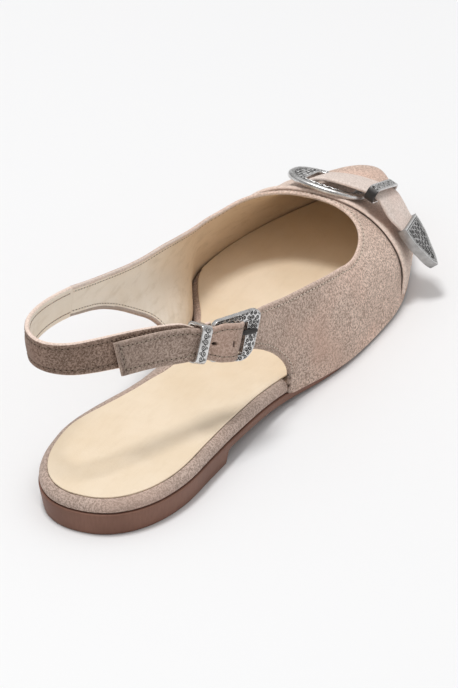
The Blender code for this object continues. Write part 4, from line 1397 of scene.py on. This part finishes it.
def ray_reach(turns, origin, middle, half, power):
    """Distance from an origin to a superellipse about a middle, along each direction."""
    low, high = np.zeros(len(turns)), np.full(len(turns), 60.0)
    for _ in range(40):
        reach = (low + high) / 2
        u = (origin[0] + reach * np.cos(turns) - middle[0]) / half[0]
        v = (origin[1] + reach * np.sin(turns) - middle[1]) / half[1]
        inside = np.abs(u) ** power + np.abs(v) ** power < 1.0
        low, high = np.where(inside, reach, low), np.where(inside, high, reach)
    return low


def ray_line(turns, origin, line):
    """Distance from an origin to a closed polyline round it, along each direction."""
    start = np.asarray(line) - origin
    edge = np.roll(start, -1, axis=0) - start
    way = np.stack((np.cos(turns), np.sin(turns)), axis=1)[:, None]
    across = edge[:, 0] * way[..., 1] - edge[:, 1] * way[..., 0]
    across = np.where(np.abs(across) < 1e-9, 1e-9, across)
    share = (start[:, 1] * way[..., 0] - start[:, 0] * way[..., 1]) / across
    reach = ((start + share[..., None] * edge) * way).sum(axis=2)
    met = (share >= -1e-6) & (share <= 1.0 + 1e-6) & (reach > 0.0)
    return np.where(met, reach, 0.0).max(axis=1)


# Which way each corner of a box lies from its middle, turning from +u to +v.
CORNERS = ((1, 1), (-1, 1), (-1, -1), (1, -1))


def rounded_box(length, height, radii, steps=14, first=0):
    """Outline of a box with its own radius at each corner: points and outward directions, row by row."""
    rows = []
    for corner in range(first, first + 4):
        half = np.array((length, height)) / 2 - radii[corner]
        for turn in np.radians(np.linspace(90.0 * corner, 90.0 * corner + 90.0, steps)):
            way = np.array((math.cos(turn), math.sin(turn)))
            rows.append((*(half * CORNERS[corner] + radii[corner] * way), *way))
    return np.array(rows)


def on_plate(points):
    """Points of a plate laid flat in its plane."""
    return np.column_stack((points[:, :2], np.zeros(len(points))))


def engraved(points, lines, width=LINE_WIDTH):
    """Height from 0 in the ground to 1 on the lines, at points of a plate."""
    near = nearest(on_plate(points), on_plate(np.concatenate(lines)))
    return 1.0 - smooth(0.55 * width, 1.5 * width, near)


def curl(middle, radius, start, hand, turns=1.35):
    """Spiral line that winds in to its middle."""
    steps = np.linspace(0.0, 1.0, int(40 + 60 * radius))
    angle = start + hand * 2.0 * math.pi * turns * steps
    reach = radius * (1.0 - 0.86 * steps ** 0.8)
    return np.stack((middle[0] + reach * np.cos(angle), middle[1] + reach * np.sin(angle)), axis=1)


def running_scroll(length, wave, height):
    """Wavy stem with a curl in each hollow, along a straight strip of a plate's plane."""
    count = max(1, round(length / wave))
    wave = length / count
    gone = np.arange(0.0, length, 0.05)
    lines = [np.stack((gone, height * np.sin(2.0 * math.pi * gone / wave)), axis=1)]
    for k in range(2 * count):
        hand = 1.0 if k % 2 == 0 else -1.0
        middle = (k + 0.5) * wave / 2
        lines.append(curl((middle, -0.42 * hand * height), 0.27 * wave, hand * 0.5 * math.pi, hand))
        leaf = np.linspace(-0.3, 0.3, 12)
        lines.append(np.stack((middle + leaf, hand * (1.75 * height - 0.8 * np.abs(leaf))), axis=1))
    return [np.clip(line, (0.0, -np.inf), (length, np.inf)) for line in lines]


def curl_field(box, spacing, radius, seed):
    """Field of curls set in staggered rows, each turned its own way."""
    rng = np.random.default_rng(seed)
    lines = []
    for row, v in enumerate(np.arange(box[1], box[3], spacing * 0.87)):
        for column, u in enumerate(np.arange(box[0] + spacing * 0.5 * (row % 2), box[2], spacing)):
            hand = 1.0 if (row + column) % 2 == 0 else -1.0
            start = rng.uniform(0.0, 2.0 * math.pi)
            lines.append(curl((u, v), radius * rng.uniform(0.85, 1.1), start, hand))
    return lines


def rail_offsets(width, thick, count):
    """Section of a flat rail: distances from its inner edge, and heights."""
    top, low = thick / 2, -thick / 2
    far = width - np.array((0.12, 0.03, 0.0, 0.0, 0.1, 0.4))
    places = np.concatenate(((0.0, 0.03, 0.12), np.linspace(0.3, width - 0.3, count), far, (0.4, 0.1, 0.0)))
    heights = np.concatenate((top - np.array((0.35, 0.18, 0.06)), np.full(count, top),
                              top - np.array((0.06, 0.18, 0.35)),
                              low + np.array((0.3, 0.1, 0.0, 0.0, 0.1, 0.3))))
    return places, heights


def framed(name, node, axes, thick, origin, turns, reaches, count, lines, rims, width=LINE_WIDTH, rope=None,
           bevel=0.0):
    """Flat buckle frame: a rail between two outlines, its face engraved between plain rims."""
    grid, rim_in, rim_out = [], [], []
    for turn, low, high in zip(turns, *reaches):
        places, heights = rail_offsets(high - low, thick, count)
        uv = origin + np.outer(low + places, (math.cos(turn), math.sin(turn)))
        grid.append(np.column_stack((uv, heights)))
        rim_in.append(places)
        rim_out.append(high - low - places)
    local, rim_in, rim_out = np.concatenate(grid), np.concatenate(rim_in), np.concatenate(rim_out)
    face = (local[:, 2] > thick / 2 - 0.01).astype(float)
    field = face * smooth(rims[0], rims[0] + 0.16, rim_in) * smooth(rims[1], rims[1] + 0.16, rim_out)
    depth = field * engraved(local, lines, width)
    if rope is not None:
        depth = np.maximum(depth, rope(local, rim_out) * face)
    fall = bevel * np.clip(1.0 - rim_out / (1.6 * bevel + 0.01), 0.0, 1.0) ** 1.4
    local[:, 2] -= RELIEF * depth + fall * (local[:, 2] > thick / 2 - 0.4)
    points = placed(axes, local)
    metal(name, node, points, faced_out(points, grid_faces(len(turns), len(grid[0]))), depth)


# How far the top rail's inner edge lies lower than in the solid, and how much more it falls to the heel.
TOP_RAIL_DROP = 1.2
TOP_RAIL_FALL = 1.5

# Corner radii of the sling frame: heel and front below, then front and heel above.
FRAME_CORNERS = (2.5, 6.5, 4.2, 2.5)


def make_sling_buckle():
    """Engraved frame on the tail, with a raised rim along both edges of its rail."""
    shift = (FRAME_FRONT_RAIL - FRAME_BAR) / 2
    outer = []
    for u, v, _, _ in rounded_box(FRAME_LENGTH, FRAME_HEIGHT, FRAME_CORNERS):
        fall = -FRAME_BOTTOM_RISE if v > 0.0 else FRAME_TOP_FALL + TOP_RAIL_FALL
        outer.append(frame_point(u, v + fall * (u / FRAME_LENGTH + 0.5)))
    window = []
    width = FRAME_LENGTH - FRAME_FRONT_RAIL - FRAME_BAR
    for u, v, _, _ in rounded_box(width, FRAME_WINDOW_HEIGHT, (0.5,) * 4):
        fall = TOP_RAIL_DROP + TOP_RAIL_FALL * (u / width + 0.5) if v < 0.0 else 0.0
        window.append(frame_point(u + shift, v + FRAME_WINDOW_DROP + fall))
    outer = np.array(outer + outer[:1])
    origin = np.array((shift, 0.0))
    outer = along_line(outer, np.linspace(0.0, line_length(outer)[-1], 640, endpoint=False)) - origin
    turns = np.arctan2(outer[:, 1], outer[:, 0])
    reaches = ray_line(turns, origin, window), np.linalg.norm(outer, axis=1)
    framed("sling_buckle_frame", "sling_buckle", buckle_axes(), FRAME_THICK, origin, turns, reaches, 30,
           curl_field((-12.0, -12.0, 12.0, 12.0), 2.0, 0.98, 3), (0.4, 0.4))


# How far the prong swings down from the frame's middle line.
PRONG_TURN = math.radians(6.0)


def make_prong():
    """Prong that hooks round the bar and lies over the front rail."""
    bar_u = FRAME_LENGTH / 2 - FRAME_BAR / 2
    hook = FRAME_THICK / 2 + GAP + 0.2 + PRONG_RADIUS
    over = FRAME_THICK / 2 + GAP + PRONG_RADIUS - 0.1
    front = -FRAME_LENGTH / 2
    route = [(bar_u + hook * math.cos(a), hook * math.sin(a)) for a in np.radians(np.arange(-60, 91, 30))]
    route.extend(((bar_u - 1.3, hook - 0.2), (bar_u - 3.4, 1.6), (bar_u - 6.5, 1.2), (front + 10.6, 1.1),
                  (front + 8.3, 1.55), (front + 6.4, over), (front + 4.0, over), (front + 1.9, over - 0.2)))
    path, length = path_by_length([(u, math.tan(PRONG_TURN) * (u - bar_u), w) for u, w in route])
    stops = np.linspace(0.0, length, 70)
    radii = PRONG_RADIUS * (0.6 + 0.65 * np.sqrt(np.clip((length - stops) / 1.6, 0.0, 1.0)))
    points, faces = tube(placed(buckle_axes(), path(stops)), radii, 14)
    metal("sling_prong_wire", "sling_prong", points, faces, np.full(len(points), 0.7), PLAIN_METAL)


def keeper(name, node, axes, size, corner, width, wall, scroll, shown, painted_reflection):
    """Metal band bent into a flat loop, its outer face engraved where shown says so."""
    line = rounded_box(*size, (corner,) * 4, steps=24, first=-1)
    line = np.concatenate((line, line[:1]))
    gone = line_length(line[:, :2])
    stops = np.linspace(0.0, gone[-1], 300, endpoint=False)
    places, heights = rail_offsets(width, wall, 26)
    line = np.repeat(sample(gone, line, stops), len(places), axis=0)
    ways = line[:, 2:]
    across, height = np.tile(places - width / 2, len(stops)), np.tile(heights, len(stops))
    flat = np.column_stack((np.repeat(stops, len(places)), across))
    field = (height > wall / 2 - 0.01) * smooth(0.4, 0.6, width / 2 - np.abs(across)) * shown(ways)
    depth = field * engraved(flat, running_scroll(gone[-1], *scroll), SCROLL_WIDTH)
    bent = line[:, :2] + ways * (height - wall / 2 - RELIEF * depth)[:, None]
    points = placed(axes, np.column_stack((bent, across)))
    faces = faced_out(points, grid_faces(len(stops), len(places)))
    # Patina in the engraving, and a painted dark reflection where asked.
    metal(name, node, points, faces, np.maximum(depth, painted_reflection(ways)))


# How far the sling keeper leans along its strap.
KEEPER_LEAN = math.radians(8.0)


def make_sling_keeper():
    """Engraved loop that holds the tail on the sling strap."""
    place, along, out, up = strap_frame(KEEPER_PLACE)
    low = -STRAP_THICK / 2 - GAP - 0.2
    high = TAIL_OUT(KEEPER_PLACE) + WALL / 2 + GAP + 0.35
    half = STRAP_WIDTH * (1.0 - TAIL_PINCH) / 2
    size = (high - low + 2 * KEEPER_WALL, 2 * (half + GAP + KEEPER_WALL))
    centre = place + out * (low + high) / 2 - up * TAIL_DROP(KEEPER_PLACE)
    leant = up * math.cos(KEEPER_LEAN) - along * math.sin(KEEPER_LEAN)
    keeper("sling_keeper_loop", "sling_keeper", (centre, out, leant, np.cross(out, leant)), size, 2.0,
           KEEPER_WIDTH, KEEPER_WALL, (4.4, 0.95),
           shown=lambda ways: smooth(0.55, 0.9, ways[:, 0]), painted_reflection=lambda ways: 0.0)


def make_vamp_keeper():
    """Engraved loop round the belt where it bends down."""
    place, along, out, cross = belt_frame(VAMP_KEEPER_AT)
    cross = cross * math.cos(VAMP_KEEPER_TURN) + along * math.sin(VAMP_KEEPER_TURN)
    length, height = VAMP_KEEPER_SIZE
    centre = place + out * (VAMP_KEEPER_OUT - 0.2) - cross * 0.8
    # One end of this keeper takes a painted dark reflection.
    keeper("vamp_keeper_loop", "vamp_keeper", (centre, cross, out, np.cross(cross, out)),
           (length + 1.6, height + 0.4), 2.6, 0.8 * VAMP_KEEPER_WIDTH, 1.1, (4.6, 0.7),
           shown=lambda ways: smooth(0.55, 0.9, ways[:, 1]),
           painted_reflection=lambda ways: 0.7 * smooth(0.35, 0.8, -ways[:, 0]))


def make_vamp_buckle():
    """Oval frame with a roped rim and a scroll field round its window."""
    along = np.array((math.cos(VAMP_FRAME_TILT), 0.0, -math.sin(VAMP_FRAME_TILT)))
    normal = unit(np.cross(along, (0.0, math.cos(VAMP_FRAME_PITCH), -math.sin(VAMP_FRAME_PITCH))))
    axes = (VAMP_FRAME_AT, along, np.cross(normal, along), normal)
    start, end, half = VAMP_WINDOW
    middle = ((start + end) / 2, 0.0)
    turns = np.linspace(0.0, 2.0 * math.pi, 620, endpoint=False)
    outer = ray_reach(turns, middle, (0.0, 0.0), VAMP_FRAME_HALF, VAMP_FRAME_POWER)
    inner = ray_reach(turns, middle, middle, ((end - start) / 2, half * 0.92), 12.0)
    inner = np.minimum(inner, outer - 1.6)

    def rope(local, rim_out):
        angle = np.arctan2(local[:, 1], local[:, 0])
        strands = smooth(0.25, 0.6, 0.5 + 0.5 * np.cos(angle * 66.0 + rim_out * 1.5))
        return 0.95 * strands * bump_at(rim_out, 1.75, 0.5) + 0.9 * bump_at(rim_out, 2.5, 0.14)

    lines = curl_field((-18.0, -13.0, 18.0, 13.0), 2.7, 1.3, 21)
    framed("vamp_buckle_frame", "vamp_buckle", axes, VAMP_FRAME_THICK, np.array(middle), turns,
           (inner, outer), 40, lines, (0.5, 2.55), width=0.27, rope=rope, bevel=0.6)


def make_vamp_tip():
    """Pointed end of the belt: raised double border round a scroll field."""
    place, _, _, cross = belt_frame(BELT_LENGTH)
    along = np.array((math.cos(TIP_DROP), 0.0, -math.sin(TIP_DROP)))
    out = unit(np.cross(along, cross))
    half = BELT_WIDTH / 2 + 1.0
    side = spline((-TIP_SOCKET, 1.0, 5.0, 10.0, 15.0, TIP_LENGTH - 0.6),
                  (half, half, half * 0.9, half * 0.61, half * 0.27, 0.9))
    edge = [(u, side(u)) for u in np.linspace(-TIP_SOCKET, TIP_LENGTH - 0.6, 90)]
    edge.append((TIP_LENGTH - 0.15, 0.5))
    rim = np.array(edge + [(TIP_LENGTH, 0.0)] + [(u, -v) for u, v in edge[::-1]] + edge[:1])
    rim = along_line(rim, np.linspace(0.0, line_length(rim)[-1], 260, endpoint=False))
    heart = np.array((4.0, 0.0))
    top, low = TIP_THICK / 2, -TIP_THICK / 2
    rows = [(0.03, low), (0.5, low), (0.96, low), (0.99, low + 0.1), (1.0, low + 0.35), (1.0, top - 0.35),
            (0.998, top - 0.15), (0.99, top - 0.03)]
    rows.extend((share, top) for share in np.linspace(1.0, 0.03, 48)[1:])
    local = np.array([(*(heart + (p - heart) * share), z) for share, z in rows for p in rim])
    inset = distance_to(on_plate(local), [on_plate(np.concatenate((rim, rim[:1])))])
    face = local[:, 2] > top - 0.02
    curls = engraved(local, curl_field((-3.0, -9.0, 17.0, 9.0), 2.3, 1.1, 5))
    depth = smooth(1.55, 1.75, inset) * (0.35 + 0.65 * curls) + bump_at(inset, 1.1, 0.16)
    depth = np.clip(depth, 0.0, 1.0) * face
    local[:, 2] -= 1.2 * RELIEF * depth
    points = placed((place, along, np.cross(out, along), out), local)
    faces = faced_out(points, grid_faces(len(rows), len(rim), round_rows=False, capped=True))
    # The side walls take a painted dark reflection.
    metal("vamp_tip_point", "vamp_tip", points, faces, np.where(face, depth, 0.36))


# Camera: the photo's view of the shoe, as a place in metres, angles in radians and a focal length.
CAMERA_AT = (0.858666, -1.667293, 1.126425)
CAMERA_YAW = -0.453457
CAMERA_PITCH = 0.517047
CAMERA_ROLL = -0.022074
CAMERA_LENS = 314.52


def make_camera():
    """Camera that looks at the shoe as the photo does."""
    ahead = Vector((math.sin(CAMERA_YAW) * math.cos(CAMERA_PITCH),
                    math.cos(CAMERA_YAW) * math.cos(CAMERA_PITCH), -math.sin(CAMERA_PITCH)))
    level = Vector((math.cos(CAMERA_YAW), -math.sin(CAMERA_YAW), 0.0))
    above = level.cross(ahead)
    right = math.cos(CAMERA_ROLL) * level + math.sin(CAMERA_ROLL) * above
    up = math.cos(CAMERA_ROLL) * above - math.sin(CAMERA_ROLL) * level
    data = bpy.data.cameras.new("camera")
    data.lens = CAMERA_LENS
    data.sensor_width = 36.0
    data.clip_end = 20.0
    camera = linked("camera", data)
    matrix = Matrix.Identity(4)
    for i, axis in enumerate((right, up, -ahead, Vector(CAMERA_AT))):
        matrix.col[i][:3] = axis
    camera.matrix_world = matrix
    bpy.context.scene.camera = camera


# Half the floor's side, in metres.
FLOOR_HALF = 6.0


def make_floor():
    """Pale plain floor."""
    mesh = bpy.data.meshes.new("floor")
    corners = [(FLOOR_HALF * u, FLOOR_HALF * v, 0.0) for u, v in ((-1, -1), (1, -1), (1, 1), (-1, 1))]
    mesh.from_pydata(corners, [], [(0, 1, 2, 3)])
    look = Look("pale_floor_look", Roughness=0.9, Specular_IOR_Level=0.1)
    colour = look.mix(look.noise(400.0), rgb(238, 238, 239), rgb(241, 241, 241))
    mesh.materials.append(look.set(Base_Color=colour))
    floor = linked("floor", mesh)


# Studio light: a soft sky, brightest overhead, towards the backdrop and on the right, and one key light.
SKY_STRENGTH = 0.685
SKY_HORIZON = 0.34
SKY_BACKDROP = 0.9
SKY_RIGHT = 0.85
KEY_AT = (-0.2, -0.2, 2.3)
KEY_SIZE = 0.55
KEY_POWER = 27.6
KEY_AIM = (0.0, 0.08, 0.0)


def make_sky():
    """World whose light grows overhead, towards the backdrop and to the right."""
    world = bpy.data.worlds.new("studio")
    bpy.context.scene.world = world
    world.use_nodes = True
    nodes = Nodes(world.node_tree)
    place = nodes.add("ShaderNodeTexCoord").outputs["Generated"]
    way = nodes.add("ShaderNodeSeparateXYZ", {"Vector": place}).outputs
    glow = nodes.ramp(way["Z"], 0.0, 0.8, SKY_HORIZON, 1.0)
    for axis, most in (("Y", SKY_BACKDROP), ("X", SKY_RIGHT)):
        glow = nodes.math("MAXIMUM", nodes.ramp(way[axis], 0.2, 0.9, 0.0, most), glow)
    sky = world.node_tree.nodes["Background"]
    sky.inputs["Strength"].default_value = SKY_STRENGTH
    world.node_tree.links.new(glow, sky.inputs["Color"])


def make_key_light():
    """One broad light above the shoe, aimed at its waist."""
    data = bpy.data.lights.new("key", "AREA")
    data.size = KEY_SIZE
    data.energy = KEY_POWER
    light = linked("key", data)
    light.location = KEY_AT
    light.rotation_euler = (Vector(KEY_AIM) - Vector(KEY_AT)).to_track_quat("-Z", "Y").to_euler()


bpy.context.scene.view_settings.view_transform = "Standard"
for make in (make_camera, make_floor, make_sky, make_key_light, make_outsole, make_rand, make_insole,
             make_upper, make_heel_strap, make_vamp_band, make_vamp_belt, make_sling_buckle, make_prong,
             make_sling_keeper, make_vamp_buckle, make_vamp_keeper, make_vamp_tip):
    make()

bpy.context.view_layer.update()
